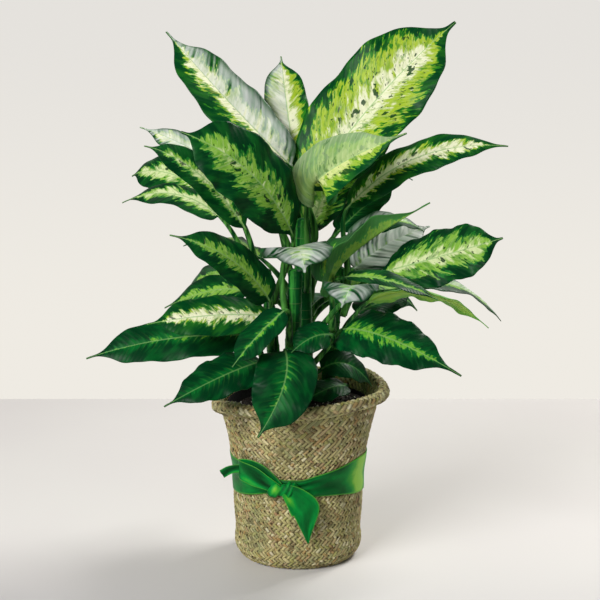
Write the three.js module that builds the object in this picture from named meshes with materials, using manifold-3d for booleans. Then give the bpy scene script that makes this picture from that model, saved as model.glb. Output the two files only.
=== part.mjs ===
// Potted dieffenbachia in a woven basket with a green ribbon.
// Millimetres, +Z up, the front looks towards -Y, the origin is in the middle of the basket's base.

import * as THREE from "three";
import { mergeVertices } from "three/addons/utils/BufferGeometryUtils.js";
import Module from "manifold-3d";

// Basket
const BASKET_SIDES = 48;
const BASKET_WALL = 5;
const BASKET_FLOOR = 5;
// Outer radius of the woven wall at each height
const BASKET_WALL_SHAPE = [
  [70, 0],
  [75, 5],
  [79.5, 40],
  [82, 80],
  [82, 108],
  [85.5, 135],
  [91, 162],
  [98, 184],
];
const RIM_RADIUS = 105;
const RIM_THICKNESS = 15;
const RIM_SHIFT = 3.5;
// Turns of the rolled rim's outline that show, in degrees from straight outwards
const RIM_ROLL = [-40, 10, 60, 110, 160];
// Height from which the wall follows the rim's rise and shift
const FLARE_FOOT = 135;
const RIM_BRAID_RELIEF = 0.9;
// Top of the handmade rim above the table, every 45 degrees from +X towards +Y
const RIM_TOPS = [220, 226, 216, 206, 203, 217, 220, 224];

// Grower pot and potting mix
const POT_FOOT_RADIUS = 62;
const POT_TOP_RADIUS = 88;
const POT_TOP = 201;
const POT_WALL = 1.6;
const POT_SIDES = 36;
const CLEARANCE = 0.3;
const MIX_EDGE_HEIGHT = 193;
const MIX_SLOPE = 0.06;
const MIX_MOUND = 6;
const MIX_RINGS = [64, 40, 18];
const HOLE_SIDES = 12;

// Canes: foot and top of the axis, radius at the foot and at the top
const CANE_FOOT = 150;
const CANE_STRAIGHT_TO = 206;
const CANE_SIDES = 12;
const CANE_STEPS = 4;
const CANES = {
  middle: { foot: [8, 14], top: [6, 22, 430], radius: [12, 9.5] },
  left: { foot: [-26, -2], top: [-40, -8, 372], radius: [9.5, 6.5] },
  right: { foot: [36, 2], top: [52, 4, 372], radius: [9.5, 6.5] },
  front: { foot: [-9, -32], top: [-3, -40, 378], radius: [11, 8.5] },
  back: { foot: [0, 48], top: [6, 66, 356], radius: [9.5, 6.5] },
};

// Leaves
const BLADE_THICKNESS = 0.9;
const STALK_RADIUS_AT_CANE = 4.8;
const STALK_RADIUS_AT_BLADE = 2.2;
const STALK_GAP = 0.1;
const RIB_AT_TIP = 0.2;
const LOBE = 0.3;
const BLADE_CURL = 22;
const MARGIN_WAVE = 0.045;
const WAVE_LAG = 2;
const STALK_SECTIONS = 3;
// Share of the stalk's curve at which its last round section stands
const STALK_END = 0.88;
// How far a stalk rises, spreads and leads into its blade, as shares of its reach
const STALK_RISE = 0.35;
const STALK_SPREAD = 0.12;
const STALK_LEAD = 0.3;
// Width of a blade at each share of its length, as a share of its greatest width
const BLADE_OUTLINE = [
  [0, 0.1],
  [0.05, 0.5],
  [0.14, 0.8],
  [0.28, 0.97],
  [0.42, 1],
  [0.58, 0.97],
  [0.72, 0.84],
  [0.82, 0.6],
  [0.885, 0.26],
  [0.93, 0.09],
  [1, 0.03],
];
const USUAL_BELLY = 0.42;

// Each leaf: its cane and the height it grows from there, the heel, crest and tip of its midrib,
// its greatest width, the fold of its halves in degrees, the waves in its margin and where the
// upper face looks. belly is the share of the length at which it is widest, and twist how far the
// blade turns about its midrib from heel to tip, in degrees.
const LEAVES = {
  top_right: {
    cane: "middle", from: 402, heel: [14, 18, 469], crest: [98, 37, 577], tip: [195, 50, 671],
    width: 122, belly: 0.45, fold: 22, waves: 3, faces: [-0.35, -0.85, 0.35],
  },
  top_left: {
    cane: "middle", from: 420, heel: [-10, 18, 498], crest: [-88, 45, 575], tip: [-166, 90, 656],
    width: 76, fold: 14, waves: 3, faces: [0.3, -0.75, 0.6],
  },
  top_back: {
    cane: "middle", from: 424, heel: [-6, 48, 508], crest: [-15, 82, 568], tip: [-22, 122, 622],
    width: 56, fold: 12, waves: 3, faces: [0.1, -0.75, 0.65],
  },
  folded_middle: {
    cane: "middle", from: 340, heel: [16, -10, 474], crest: [53, -50, 510], tip: [129, -80, 550],
    width: 72, belly: 0.3, fold: 34, waves: 2, faces: [0.45, -0.7, 0.5],
  },
  behind_folded: {
    cane: "middle", from: 320, heel: [18, 36, 413], crest: [53, 68, 477], tip: [141, 84, 546],
    width: 70, fold: 10, waves: 3, faces: [-0.45, -0.7, 0.55],
  },
  right_long: {
    cane: "right", from: 336, heel: [64, 10, 448], crest: [149, 0, 510], tip: [257, -12, 525],
    width: 54, fold: 10, waves: 3, faces: [0.05, -0.62, 0.78],
  },
  right_dark: {
    cane: "back", from: 350, heel: [52, 34, 412], crest: [85, 58, 439], tip: [127, 72, 468],
    width: 44, fold: 12, waves: 2, faces: [-0.2, -0.6, 0.78],
  },
  right_marbled: {
    cane: "right", from: 293, heel: [41, -40, 360], crest: [70, -54, 404], tip: [159, -66, 464],
    width: 78, belly: 0.3, fold: 44, twist: -76, waves: 3, faces: [-0.63, -0.56, 0.57],
  },
  right_edge_on: {
    cane: "right", from: 340, heel: [66, -4, 408], crest: [113, 18, 428], tip: [159, 36, 410],
    width: 46, fold: 12, waves: 2, faces: [0.1, -0.25, 0.96],
  },
  right_grey: {
    cane: "right", from: 306, heel: [72, 26, 366], crest: [117, 52, 393], tip: [169, 80, 409],
    width: 62, fold: 8, waves: 2, faces: [-0.1, -0.55, 0.83],
  },
  right_big: {
    cane: "right", from: 312, heel: [106, -34, 373], crest: [176, -50, 396], tip: [248, -60, 420],
    width: 78, belly: 0.5, fold: 8, waves: 4, faces: [0.05, -0.72, 0.7],
  },
  right_narrow: {
    cane: "right", from: 338, heel: [59, -76, 375], crest: [108, -84, 373], tip: [168, -100, 352],
    width: 32, fold: 16, waves: 2, faces: [0.1, -0.35, 0.93],
  },
  right_backlit: {
    cane: "right", from: 276, heel: [90, -6, 330], crest: [162, -18, 342], tip: [236, -30, 301],
    width: 62, fold: 6, waves: 3, faces: [0.2, 0.35, 0.9],
  },
  right_far: {
    cane: "back", from: 298, heel: [133, 52, 334], crest: [202, 72, 333], tip: [264, 90, 282],
    width: 50, fold: 10, waves: 2, faces: [0.3, -0.1, 0.95],
  },
  right_shade: {
    cane: "right", from: 276, heel: [76, 26, 308], crest: [109, 54, 316], tip: [148, 76, 321],
    width: 46, fold: 8, waves: 2, faces: [0, -0.55, 0.84],
  },
  front_right_pointing: {
    cane: "front", from: 262, heel: [64, -90, 363], crest: [62, -122, 372], tip: [51, -150, 354],
    width: 66, fold: 12, waves: 3, faces: [0, -0.2, 0.98],
  },
  front_left_pointing: {
    cane: "front", from: 310, heel: [-15, -52, 396], crest: [0, -96, 414], tip: [8, -140, 394],
    width: 86, fold: 10, waves: 3, faces: [0, -0.2, 0.98],
  },
  left_blunt: {
    cane: "left", from: 358, heel: [-88, 30, 446], crest: [-162, 60, 480], tip: [-212, 85, 473],
    width: 56, belly: 0.5, fold: 8, waves: 2, faces: [0.05, -0.65, 0.75],
  },
  left_low_pair: {
    cane: "left", from: 331, heel: [-98, -12, 439], crest: [-156, 8, 463], tip: [-220, 30, 448],
    width: 42, belly: 0.34, fold: 8, waves: 2, faces: [0, -0.5, 0.87],
  },
  left_grey: {
    cane: "left", from: 361, heel: [-66, -28, 428], crest: [-122, -50, 499], tip: [-184, -60, 532],
    width: 42, belly: 0.42, fold: 12, waves: 2, faces: [-0.25, -0.65, 0.72],
  },
  left_pale: {
    cane: "middle", from: 384, heel: [-56, 12, 466], crest: [-127, 45, 510], tip: [-200, 75, 537],
    width: 38, belly: 0.42, fold: 8, waves: 3, faces: [-0.2, -0.6, 0.78],
  },
  left_big: {
    cane: "left", from: 330, heel: [-8, -52, 426], crest: [-58, -94, 506], tip: [-137, -106, 555],
    width: 88, belly: 0.5, fold: 10, waves: 4, faces: [0.15, -0.85, 0.5],
  },
  left_feathered: {
    cane: "left", from: 300, heel: [-36, -42, 340], crest: [-82, -82, 399], tip: [-152, -105, 432],
    width: 50, belly: 0.36, fold: 10, waves: 3, faces: [-0.1, -0.78, 0.62],
  },
  left_behind: {
    cane: "left", from: 286, heel: [-62, -12, 342], crest: [-107, 10, 340], tip: [-169, 30, 313],
    width: 54, fold: 10, waves: 2, faces: [-0.2, -0.55, 0.8],
  },
  left_cream: {
    cane: "left", from: 270, heel: [-38, -46, 320], crest: [-105, -78, 328], tip: [-182, -95, 321],
    width: 54, fold: 8, waves: 3, faces: [0, -0.78, 0.62],
  },
  left_long: {
    cane: "left", from: 244, heel: [-68, -30, 292], crest: [-164, -40, 289], tip: [-262, -38, 264],
    width: 62, belly: 0.36, fold: 10, waves: 3, faces: [-0.05, -0.72, 0.7],
  },
  small_middle: {
    cane: "front", from: 284, heel: [-18, -78, 333], crest: [-48, -102, 309], tip: [-78, -130, 277],
    width: 40, fold: 10, waves: 2, faces: [-0.4, -0.82, 0.4],
  },
  left_low: {
    cane: "left", from: 222, heel: [-44, -60, 266], crest: [-93, -104, 258], tip: [-160, -130, 228],
    width: 60, belly: 0.35, fold: 10, waves: 4, faces: [-0.15, -0.7, 0.7],
  },
  front_drooping: {
    cane: "front", from: 248, heel: [-15, -84, 284], crest: [-18, -126, 250], tip: [-48, -142, 193],
    width: 76, belly: 0.38, fold: 12, waves: 3, faces: [0.1, -0.85, 0.5],
  },
  small_dark: {
    cane: "front", from: 234, heel: [38, -68, 302], crest: [16, -78, 300], tip: [-8, -88, 284],
    width: 40, fold: 10, waves: 2, faces: [-0.3, -0.82, 0.5],
  },
  right_low: {
    cane: "right", from: 270, heel: [57, -40, 302], crest: [112, -92, 302], tip: [196, -115, 262],
    width: 70, belly: 0.31, fold: 8, waves: 5, faces: [0.2, -0.8, 0.56],
  },
  basket_right: {
    cane: "front", from: 227, heel: [30, -34, 250], crest: [62, -27, 254], tip: [93, -10, 221],
    width: 42, fold: 10, waves: 2, faces: [0.2, -0.6, 0.78],
  },
  basket_front: {
    cane: "front", from: 218, heel: [59, -48, 232], crest: [36, -68, 233], tip: [7, -86, 222],
    width: 38, fold: 10, waves: 2, faces: [-0.2, -0.6, 0.78],
  },
  back_left_high: {
    cane: "back", from: 340, heel: [-34, 74, 432], crest: [-86, 108, 478], tip: [-146, 132, 474],
    width: 74, fold: 10, waves: 3, faces: [-0.2, 0.3, 0.93],
  },
  back_right_high: {
    cane: "back", from: 328, heel: [58, 84, 424], crest: [96, 126, 470], tip: [150, 148, 458],
    width: 76, fold: 10, waves: 3, faces: [0.2, 0.3, 0.93],
  },
  back_middle: {
    cane: "back", from: 318, heel: [12, 104, 396], crest: [0, 158, 428], tip: [-8, 214, 392],
    width: 80, fold: 10, waves: 4, faces: [0, -0.1, 0.99],
  },
  back_left_low: {
    cane: "back", from: 292, heel: [-48, 70, 330], crest: [-102, 104, 342], tip: [-156, 138, 302],
    width: 66, fold: 10, waves: 3, faces: [-0.1, -0.45, 0.89],
  },
  back_right_low: {
    cane: "back", from: 282, heel: [54, 84, 318], crest: [106, 114, 326], tip: [158, 142, 284],
    width: 68, fold: 10, waves: 3, faces: [0.1, -0.45, 0.89],
  },
  back_low: {
    cane: "back", from: 262, heel: [2, 102, 300], crest: [8, 154, 304], tip: [14, 204, 258],
    width: 70, fold: 10, waves: 3, faces: [0, -0.45, 0.89],
  },
  back_left_top: {
    cane: "middle", from: 400, heel: [-26, 54, 472], crest: [-62, 100, 540], tip: [-104, 140, 588],
    width: 66, fold: 10, waves: 3, faces: [-0.2, -0.5, 0.84],
  },
  back_right_top: {
    cane: "back", from: 346, heel: [38, 96, 462], crest: [81, 128, 517], tip: [125, 180, 552],
    width: 70, fold: 10, waves: 3, faces: [0.2, -0.4, 0.88],
  },
  back_middle_high: {
    cane: "back", from: 350, heel: [-6, 90, 440], crest: [-4, 150, 494], tip: [-10, 206, 510],
    width: 72, fold: 10, waves: 3, faces: [0, -0.1, 0.98],
  },
  back_left_mid: {
    cane: "back", from: 318, heel: [-50, 66, 372], crest: [-100, 98, 388], tip: [-150, 128, 374],
    width: 64, fold: 10, waves: 3, faces: [-0.2, 0.2, 0.95],
  },
  back_right_mid: {
    cane: "right", from: 327, heel: [62, 76, 372], crest: [108, 102, 392], tip: [166, 130, 376],
    width: 66, fold: 10, waves: 3, faces: [0.2, 0.2, 0.95],
  },
};

// Colours of the leaves: most are green or lime in turn, and these ones are cream or dark
const LEAF_COLOURS = { cream: 0xc9cf94, green: 0x4c8a3c, lime: 0x8fb04e, dark: 0x24603a };
const CREAM_LEAVES = [
  "top_left", "top_right", "top_back", "left_cream", "left_blunt", "left_pale", "right_big",
];
const DARK_LEAVES = [
  "left_low", "left_long", "small_dark", "basket_right", "basket_front", "right_dark",
];

const wasm = await Module();
wasm.setup();

const vector = (xyz) => new THREE.Vector3(...xyz);
const radians = THREE.MathUtils.degToRad;
const mix = THREE.MathUtils.lerp;

// Value of a list of [place, value] pairs at a place between them
function read(pairs, place) {
  const next = Math.max(1, pairs.findIndex(([at]) => at >= place));
  const [a, from] = pairs[next - 1];
  const [b, to] = pairs[next];
  return mix(from, to, (place - a) / (b - a));
}

function geometryOf(points, triangles) {
  const geometry = new THREE.BufferGeometry();
  const flat = points.flatMap((point) => point.toArray());
  geometry.setAttribute("position", new THREE.Float32BufferAttribute(flat, 3));
  geometry.setIndex(triangles);
  return geometry;
}

// A closed skin over rings of points. Every ring has the same count of points, which run
// clockwise as seen along the row of rings. leansBack says which diagonal a quad has.
function loft(rings, leansBack = () => false) {
  const count = rings[0].length;
  const triangles = [];
  for (let i = 0; i + 1 < rings.length; i += 1) {
    for (let k = 0; k < count; k += 1) {
      const a = i * count + k;
      const b = i * count + ((k + 1) % count);
      const c = b + count;
      const d = a + count;
      triangles.push(...(leansBack(k) ? [a, b, d, b, c, d] : [a, b, c, a, c, d]));
    }
  }
  const end = (rings.length - 1) * count;
  for (let k = 0; k + 1 < count / 2; k += 1) {
    const [a, b, c, d] = [k, k + 1, count - 2 - k, count - 1 - k];
    triangles.push(a, c, b, a, d, c);
    triangles.push(end + a, end + b, end + c, end + a, end + c, end + d);
  }
  return geometryOf(rings.flat(), triangles);
}

// A skin turned about the Z axis from a pole to a pole. place(i, angle) gives each point of the
// outline, whose first and last lie on the axis.
function turned(outlineCount, sides, place) {
  const points = [place(0, 0)];
  const triangles = [];
  for (let i = 1; i + 1 < outlineCount; i += 1) {
    for (let j = 0; j < sides; j += 1) {
      points.push(place(i, (2 * Math.PI * j) / sides));
    }
  }
  points.push(place(outlineCount - 1, 0));
  const at = (i, j) => 1 + (i - 1) * sides + (j % sides);
  for (let j = 0; j < sides; j += 1) {
    triangles.push(0, at(1, j + 1), at(1, j));
    triangles.push(at(outlineCount - 2, j), at(outlineCount - 2, j + 1), points.length - 1);
    for (let i = 1; i + 2 < outlineCount; i += 1) {
      triangles.push(at(i, j), at(i, j + 1), at(i + 1, j + 1));
      triangles.push(at(i, j), at(i + 1, j + 1), at(i + 1, j));
    }
  }
  return geometryOf(points, triangles);
}

// A skin turned from an outline of [radius, height] pairs
function lathe(outline, sides) {
  return turned(outline.length, sides, (i, angle) => {
    const [radius, height] = outline[i];
    return new THREE.Vector3(radius * Math.cos(angle), radius * Math.sin(angle), height);
  });
}

// Booleans
function solidOf(geometry) {
  const bare = geometry.clone();
  bare.deleteAttribute("normal");
  bare.deleteAttribute("uv");
  const merged = mergeVertices(bare, 1e-4);
  const mesh = new wasm.Mesh({
    numProp: 3,
    vertProperties: new Float32Array(merged.attributes.position.array),
    triVerts: new Uint32Array(merged.index.array),
  });
  return new wasm.Manifold(mesh);
}

function geometryOfSolid(solid) {
  const mesh = solid.getMesh();
  const points = [];
  for (let i = 0; i < mesh.vertProperties.length; i += 3) {
    points.push(new THREE.Vector3(...mesh.vertProperties.slice(i, i + 3)));
  }
  return geometryOf(points, Array.from(mesh.triVerts));
}

// Basket
function rimTop(angle) {
  const place = ((angle / (2 * Math.PI)) * RIM_TOPS.length + RIM_TOPS.length) % RIM_TOPS.length;
  const before = Math.floor(place);
  const ease = (1 - Math.cos(Math.PI * (place - before))) / 2;
  return mix(RIM_TOPS[before], RIM_TOPS[(before + 1) % RIM_TOPS.length], ease);
}

function basket() {
  const tube = RIM_THICKNESS / 2;
  const wall = BASKET_WALL_SHAPE;
  const [, flareTop] = wall[wall.length - 1];
  const lowestTop = Math.min(...RIM_TOPS);
  const outline = [["wall", 0, 0], ...wall.map(([radius, height]) => ["wall", radius, height])];
  outline.push(...RIM_ROLL.map((turn) => ["rim", turn, 0]));
  const inner = wall.slice(2).reverse();
  outline.push(...inner.map(([radius, height]) => ["wall", radius - BASKET_WALL, height]));
  outline.push(["wall", wall[1][0] - BASKET_WALL, BASKET_FLOOR]);
  outline.push(["wall", 0, BASKET_FLOOR]);
  return turned(outline.length, BASKET_SIDES, (i, angle) => {
    const [kind, first, height] = outline[i];
    const rise = rimTop(angle) - lowestTop;
    let radius = first;
    let z = height + rise * Math.max(0, (height - FLARE_FOOT) / (flareTop - FLARE_FOOT)) ** 2;
    if (kind === "rim") {
      const side = Math.round((angle / (2 * Math.PI)) * BASKET_SIDES);
      const braid = tube - (side % 2) * RIM_BRAID_RELIEF;
      radius = RIM_RADIUS + braid * Math.cos(radians(first));
      z = rimTop(angle) - tube + braid * Math.sin(radians(first));
    }
    const shift = RIM_SHIFT * Math.max(0, (z - FLARE_FOOT) / (rimTop(angle) - FLARE_FOOT));
    return new THREE.Vector3(radius * Math.cos(angle) + shift, radius * Math.sin(angle), z);
  });
}

// Grower pot
function potRadius(height) {
  return mix(POT_FOOT_RADIUS, POT_TOP_RADIUS, (height - BASKET_FLOOR) / (POT_TOP - BASKET_FLOOR));
}

function growerPot() {
  const foot = BASKET_FLOOR + CLEARANCE;
  const floor = foot + POT_WALL;
  return lathe([
    [0, foot],
    [potRadius(foot), foot],
    [potRadius(POT_TOP), POT_TOP],
    [potRadius(POT_TOP) - POT_WALL, POT_TOP],
    [potRadius(floor) - POT_WALL, floor],
    [0, floor],
  ], POT_SIDES);
}

// Potting mix with a plain hole for each cane
function mixTop(x, y) {
  const share = Math.min(1, Math.hypot(x, y) / POT_TOP_RADIUS);
  return MIX_EDGE_HEIGHT + MIX_SLOPE * x + MIX_MOUND * (1 - share * share);
}

function pottingMix() {
  const foot = BASKET_FLOOR + 2 * CLEARANCE + POT_WALL;
  const inset = POT_WALL + CLEARANCE;
  const lowestEdge = MIX_EDGE_HEIGHT - MIX_SLOPE * POT_TOP_RADIUS;
  const rings = [potRadius(lowestEdge) - inset, ...MIX_RINGS];
  const heap = turned(rings.length + 3, POT_SIDES, (i, angle) => {
    const across = (radius) => [radius * Math.cos(angle), radius * Math.sin(angle)];
    if (i === 0) {
      return new THREE.Vector3(0, 0, foot);
    }
    if (i === 1) {
      return new THREE.Vector3(...across(potRadius(foot) - inset), foot);
    }
    const [x, y] = i === rings.length + 2 ? [0, 0] : across(rings[i - 2]);
    return new THREE.Vector3(x, y, mixTop(x, y));
  });
  let solid = solidOf(heap);
  for (const { foot: [x, y], radius } of Object.values(CANES)) {
    const hole = lathe([
      [0, CANE_FOOT - CLEARANCE],
      [radius[0] + 2 * CLEARANCE, CANE_FOOT - CLEARANCE],
      [radius[0] + 2 * CLEARANCE, POT_TOP + MIX_MOUND],
      [0, POT_TOP + MIX_MOUND],
    ], HOLE_SIDES);
    hole.translate(x, y, 0);
    solid = solid.subtract(solidOf(hole));
  }
  return geometryOfSolid(solid);
}

// Canes
function caneAxis(cane, height) {
  const { foot, top } = CANES[cane];
  const share = Math.max(0, (height - CANE_STRAIGHT_TO) / (top[2] - CANE_STRAIGHT_TO));
  return new THREE.Vector3(mix(foot[0], top[0], share), mix(foot[1], top[1], share), height);
}

function caneRadius(cane, height) {
  const { top, radius } = CANES[cane];
  const share = Math.max(0, (height - CANE_STRAIGHT_TO) / (top[2] - CANE_STRAIGHT_TO));
  return mix(radius[0], radius[1], share);
}

function caneStem(cane) {
  const top = CANES[cane].top[2];
  const heights = [CANE_FOOT, CANE_STRAIGHT_TO];
  for (let step = 1; step <= CANE_STEPS; step += 1) {
    heights.push(mix(CANE_STRAIGHT_TO, top, step / CANE_STEPS));
  }
  const rings = heights.map((height) => {
    const centre = caneAxis(cane, height);
    const radius = caneRadius(cane, height);
    return ringRound(centre, vector([0, 1, 0]), vector([1, 0, 0]), radius, CANE_SIDES);
  });
  return loft(rings);
}

// A ring of points that runs from the left over the top to the right and back underneath
function ringRound(centre, side, up, radius, count) {
  const points = [];
  for (let k = 0; k < count; k += 1) {
    const angle = Math.PI - ((k + 0.5) * 2 * Math.PI) / count;
    const point = centre.clone();
    point.addScaledVector(side, radius * Math.cos(angle));
    point.addScaledVector(up, radius * Math.sin(angle));
    points.push(point);
  }
  return points;
}

// Leaves
const ACROSS = [-1, -0.5, 0, 0.5, 1];

// Width of a blade at a share of its length, where belly is the share at which it is widest
function outlineShare(share, belly) {
  return read(BLADE_OUTLINE, share ** (Math.log(USUAL_BELLY) / Math.log(belly)));
}

// Place across a blade half: distance outwards and height, for a share from midrib to margin
function acrossBlade(half, fold, share) {
  const start = radians(fold);
  const curl = radians(BLADE_CURL);
  const end = start - curl * share;
  return [
    (half * (Math.sin(start) - Math.sin(end))) / curl,
    (half * (Math.cos(end) - Math.cos(start))) / curl,
  ];
}

// The midrib's curve, and the ways along it, to the right of it and up from the upper face
function midribOf({ heel, crest, tip, faces, twist = 0 }) {
  const [from, over, to] = [heel, crest, tip].map(vector);
  const pull = over.clone().multiplyScalar(2).addScaledVector(from, -0.5).addScaledVector(to, -0.5);
  const curve = new THREE.QuadraticBezierCurve3(from, pull, to);
  const facing = vector(faces).normalize();
  const frameAt = (share) => {
    const along = curve.getTangent(share);
    const up = facing.clone().addScaledVector(along, -facing.dot(along)).normalize();
    up.applyAxisAngle(along, radians(twist * share));
    return { along, up, side: along.clone().cross(up) };
  };
  return { curve, frameAt };
}

function bladeRings({ width, fold, waves, belly = USUAL_BELLY }, { curve, frameAt }) {
  return BLADE_OUTLINE.map(([share]) => {
    const { along, up, side } = frameAt(share);
    const centre = curve.getPoint(share);
    const half = (width / 2) * outlineShare(share, belly);
    const waveHeight = width * MARGIN_WAVE * Math.min(1, 4 * share * (1 - share));
    const skin = (lift) => ACROSS.map((u) => {
      const [out, rise] = acrossBlade(half, fold, Math.abs(u));
      const lean = radians(fold - BLADE_CURL * Math.abs(u)) * Math.sign(u);
      const phase = 2 * Math.PI * waves * share + (u < 0 ? WAVE_LAG : 0);
      const wave = waveHeight * u * u * Math.sin(phase);
      const point = centre.clone();
      point.addScaledVector(side, Math.sign(u) * out - lift * Math.sin(lean));
      point.addScaledVector(up, rise + wave + lift * Math.cos(lean));
      point.addScaledVector(along, -LOBE * half * u * u * (1 - share) ** 4);
      return point;
    });
    const under = skin(-BLADE_THICKNESS / 2);
    under[2].addScaledVector(up, -mix(STALK_RADIUS_AT_BLADE, RIB_AT_TIP, share));
    return [...skin(BLADE_THICKNESS / 2), ...under.reverse()];
  });
}

function stalkRings({ cane, from, heel }, { frameAt }) {
  const axis = caneAxis(cane, from);
  const end = vector(heel);
  const outwards = end.clone().sub(axis).setZ(0).normalize();
  const offAxis = caneRadius(cane, from) + STALK_RADIUS_AT_CANE + STALK_GAP;
  const root = axis.clone().addScaledVector(outwards, offAxis);
  const reach = root.distanceTo(end);
  const start = frameAt(0);
  const rise = new THREE.Vector3(0, 0, STALK_RISE * reach).addScaledVector(outwards, STALK_SPREAD * reach);
  const curve = new THREE.CubicBezierCurve3(
    root,
    root.clone().add(rise),
    end.clone().addScaledVector(start.along, -STALK_LEAD * reach),
    end,
  );
  let side = start.side;
  const rings = [];
  for (let step = STALK_SECTIONS; step >= 0; step -= 1) {
    const share = (STALK_END * step) / STALK_SECTIONS;
    const along = curve.getTangent(share);
    side = side.clone().addScaledVector(along, -side.dot(along)).normalize();
    const radius = mix(STALK_RADIUS_AT_CANE, STALK_RADIUS_AT_BLADE, share);
    const up = side.clone().cross(along);
    rings.unshift(ringRound(curve.getPoint(share), side, up, radius, 2 * ACROSS.length));
  }
  return rings;
}

// A stalk and its blade, with every quad split from the midrib outwards on both faces
function leaf(name) {
  const shape = LEAVES[name];
  const midrib = midribOf(shape);
  return loft([...stalkRings(shape, midrib), ...bladeRings(shape, midrib)], (k) => [0, 1, 5, 6].includes(k));
}

// Ribbon
// Lower and upper edge of the band at each turn from +X towards +Y, in degrees
const BAND_EDGES = [
  [0, 87, 136],
  [90, 86, 134],
  [180, 87, 135],
  [205, 90, 136],
  [225, 95, 135],
  [242, 101, 127],
  [258, 103, 121],
  [270, 98, 121],
  [287, 99, 127],
  [300, 98, 131],
  [335, 90, 138],
  [360, 87, 136],
];
const RIBBON_THICKNESS = 0.8;
const BAND_CREASE = 1.2;
const KNOT_CENTRE = [-18, -91, 111];
const KNOT_HEIGHT = 22;
const KNOT_DEPTH = 15;
const KNOT_SIDES = 10;
// Place along the knot and its girth there, as a share of its greatest
const KNOT_SHAPE = [
  [-19, 0.45],
  [-13, 0.9],
  [-3, 0.95],
  [1, 0.78],
  [8, 1],
  [17, 0.5],
];

function wallRadius(height) {
  return read(BASKET_WALL_SHAPE.map(([radius, at]) => [at, radius]), height);
}

function bandEdges(angle) {
  const turn = THREE.MathUtils.radToDeg(angle);
  return [1, 2].map((edge) => read(BAND_EDGES.map((row) => [row[0], row[edge]]), turn));
}

// A closed hoop over rings of points, as in a loft whose last ring meets its first
function hoop(rings) {
  const count = rings[0].length;
  const triangles = [];
  for (let i = 0; i < rings.length; i += 1) {
    const next = (i + 1) % rings.length;
    for (let k = 0; k < count; k += 1) {
      const [a, b] = [i * count + k, i * count + ((k + 1) % count)];
      const [c, d] = [next * count + ((k + 1) % count), next * count + k];
      triangles.push(a, b, c, a, c, d);
    }
  }
  return geometryOf(rings.flat(), triangles);
}

function ribbonBand() {
  const rings = [];
  for (let j = 0; j < BASKET_SIDES; j += 1) {
    const angle = (2 * Math.PI * j) / BASKET_SIDES;
    const [low, high] = bandEdges(angle);
    const place = (share, lift) => {
      const z = mix(low, high, share);
      const radius = wallRadius(z) + 2 * CLEARANCE + lift;
      return new THREE.Vector3(radius * Math.cos(angle), radius * Math.sin(angle), z);
    };
    rings.push([
      place(0, 0), place(0.5, 0), place(1, 0),
      place(1, RIBBON_THICKNESS), place(0.5, RIBBON_THICKNESS + BAND_CREASE), place(0, RIBBON_THICKNESS),
    ]);
  }
  return hoop(rings);
}

// A strip of ribbon along a path. Each stop is a place, the width there and the way across it.
function strip(stops) {
  const path = new THREE.CatmullRomCurve3(stops.map(([place]) => vector(place)));
  const rings = stops.map(([place, width, across], i) => {
    const along = path.getTangent(i / (stops.length - 1));
    const side = vector(across);
    side.addScaledVector(along, -side.dot(along)).normalize();
    const up = side.clone().cross(along);
    const corner = (right, lift) => vector(place)
      .addScaledVector(side, (right * width) / 2)
      .addScaledVector(up, (lift * RIBBON_THICKNESS) / 2);
    return [corner(-1, 1), corner(1, 1), corner(1, -1), corner(-1, -1)];
  });
  return loft(rings);
}

function ribbonKnot() {
  const rings = KNOT_SHAPE.map(([along, size]) => {
    const centre = vector(KNOT_CENTRE).add(new THREE.Vector3(along, 0, 0));
    const tall = new THREE.Vector3(0, 0, KNOT_HEIGHT / 2);
    const deep = new THREE.Vector3(0, -KNOT_DEPTH / 2, 0);
    return ringRound(centre, deep, tall, size, KNOT_SIDES);
  });
  return loft(rings);
}

// Place beside the basket at a turn from +X towards +Y in degrees, a radius and a height
function beside(turn, radius, height) {
  return [radius * Math.cos(radians(turn)), radius * Math.sin(radians(turn)), height];
}

function ribbon() {
  const parts = [
    ribbonBand(),
    ribbonKnot(),
    strip([
      [[-17, -95, 110], 14, [1, 0, 0]],
      [[-9, -97, 104], 26, [1, 0, 0.3]],
      [[4, -97, 90], 44, [1, 0, 0.1]],
      [[7, -94, 68], 28, [1, 0, 0]],
      [[9, -92, 50], 12, [1, 0, 0]],
      [[13, -91, 39], 3, [1, 0, 0]],
    ]),
    strip([
      [beside(232, 90.5, 126), 9, [0, 0, 1]],
      [beside(220, 92, 128), 10, [0, 0, 1]],
      [[-84, -56, 126], 11, [0, -0.2, 1]],
      [[-95, -52, 119], 11, [0.2, -0.2, 1]],
    ]),
    strip([
      [beside(256, 92, 114), 11, [0, 0, 1]],
      [beside(240, 90.5, 120), 20, [0, 0, 1]],
      [beside(222, 90.5, 124), 24, [0, 0, 1]],
      [beside(208, 91.5, 122), 22, [0, 0, 1]],
      [beside(203, 94.5, 121), 20, [0, 0, 1]],
      [beside(208, 97.5, 121), 22, [0, 0, 1]],
      [beside(222, 98, 122), 24, [0, 0, 1]],
      [beside(240, 98, 119), 20, [0, 0, 1]],
      [beside(256, 97, 113), 11, [0, 0, 1]],
    ]),
  ];
  return geometryOfSolid(parts.map(solidOf).reduce((whole, part) => whole.add(part)));
}

// The whole plant
function look(colour, roughness) {
  return new THREE.MeshStandardMaterial({ color: colour, roughness, metalness: 0 });
}

function leafLook(name, index) {
  const usual = index % 2 ? "lime" : "green";
  const dark = DARK_LEAVES.includes(name) ? "dark" : usual;
  const colour = CREAM_LEAVES.includes(name) ? "cream" : dark;
  return look(LEAF_COLOURS[colour], 0.4);
}

const plant = new THREE.Group();

function place(name, geometry, material) {
  const mesh = new THREE.Mesh(geometry, material);
  mesh.name = name;
  plant.add(mesh);
}

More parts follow.
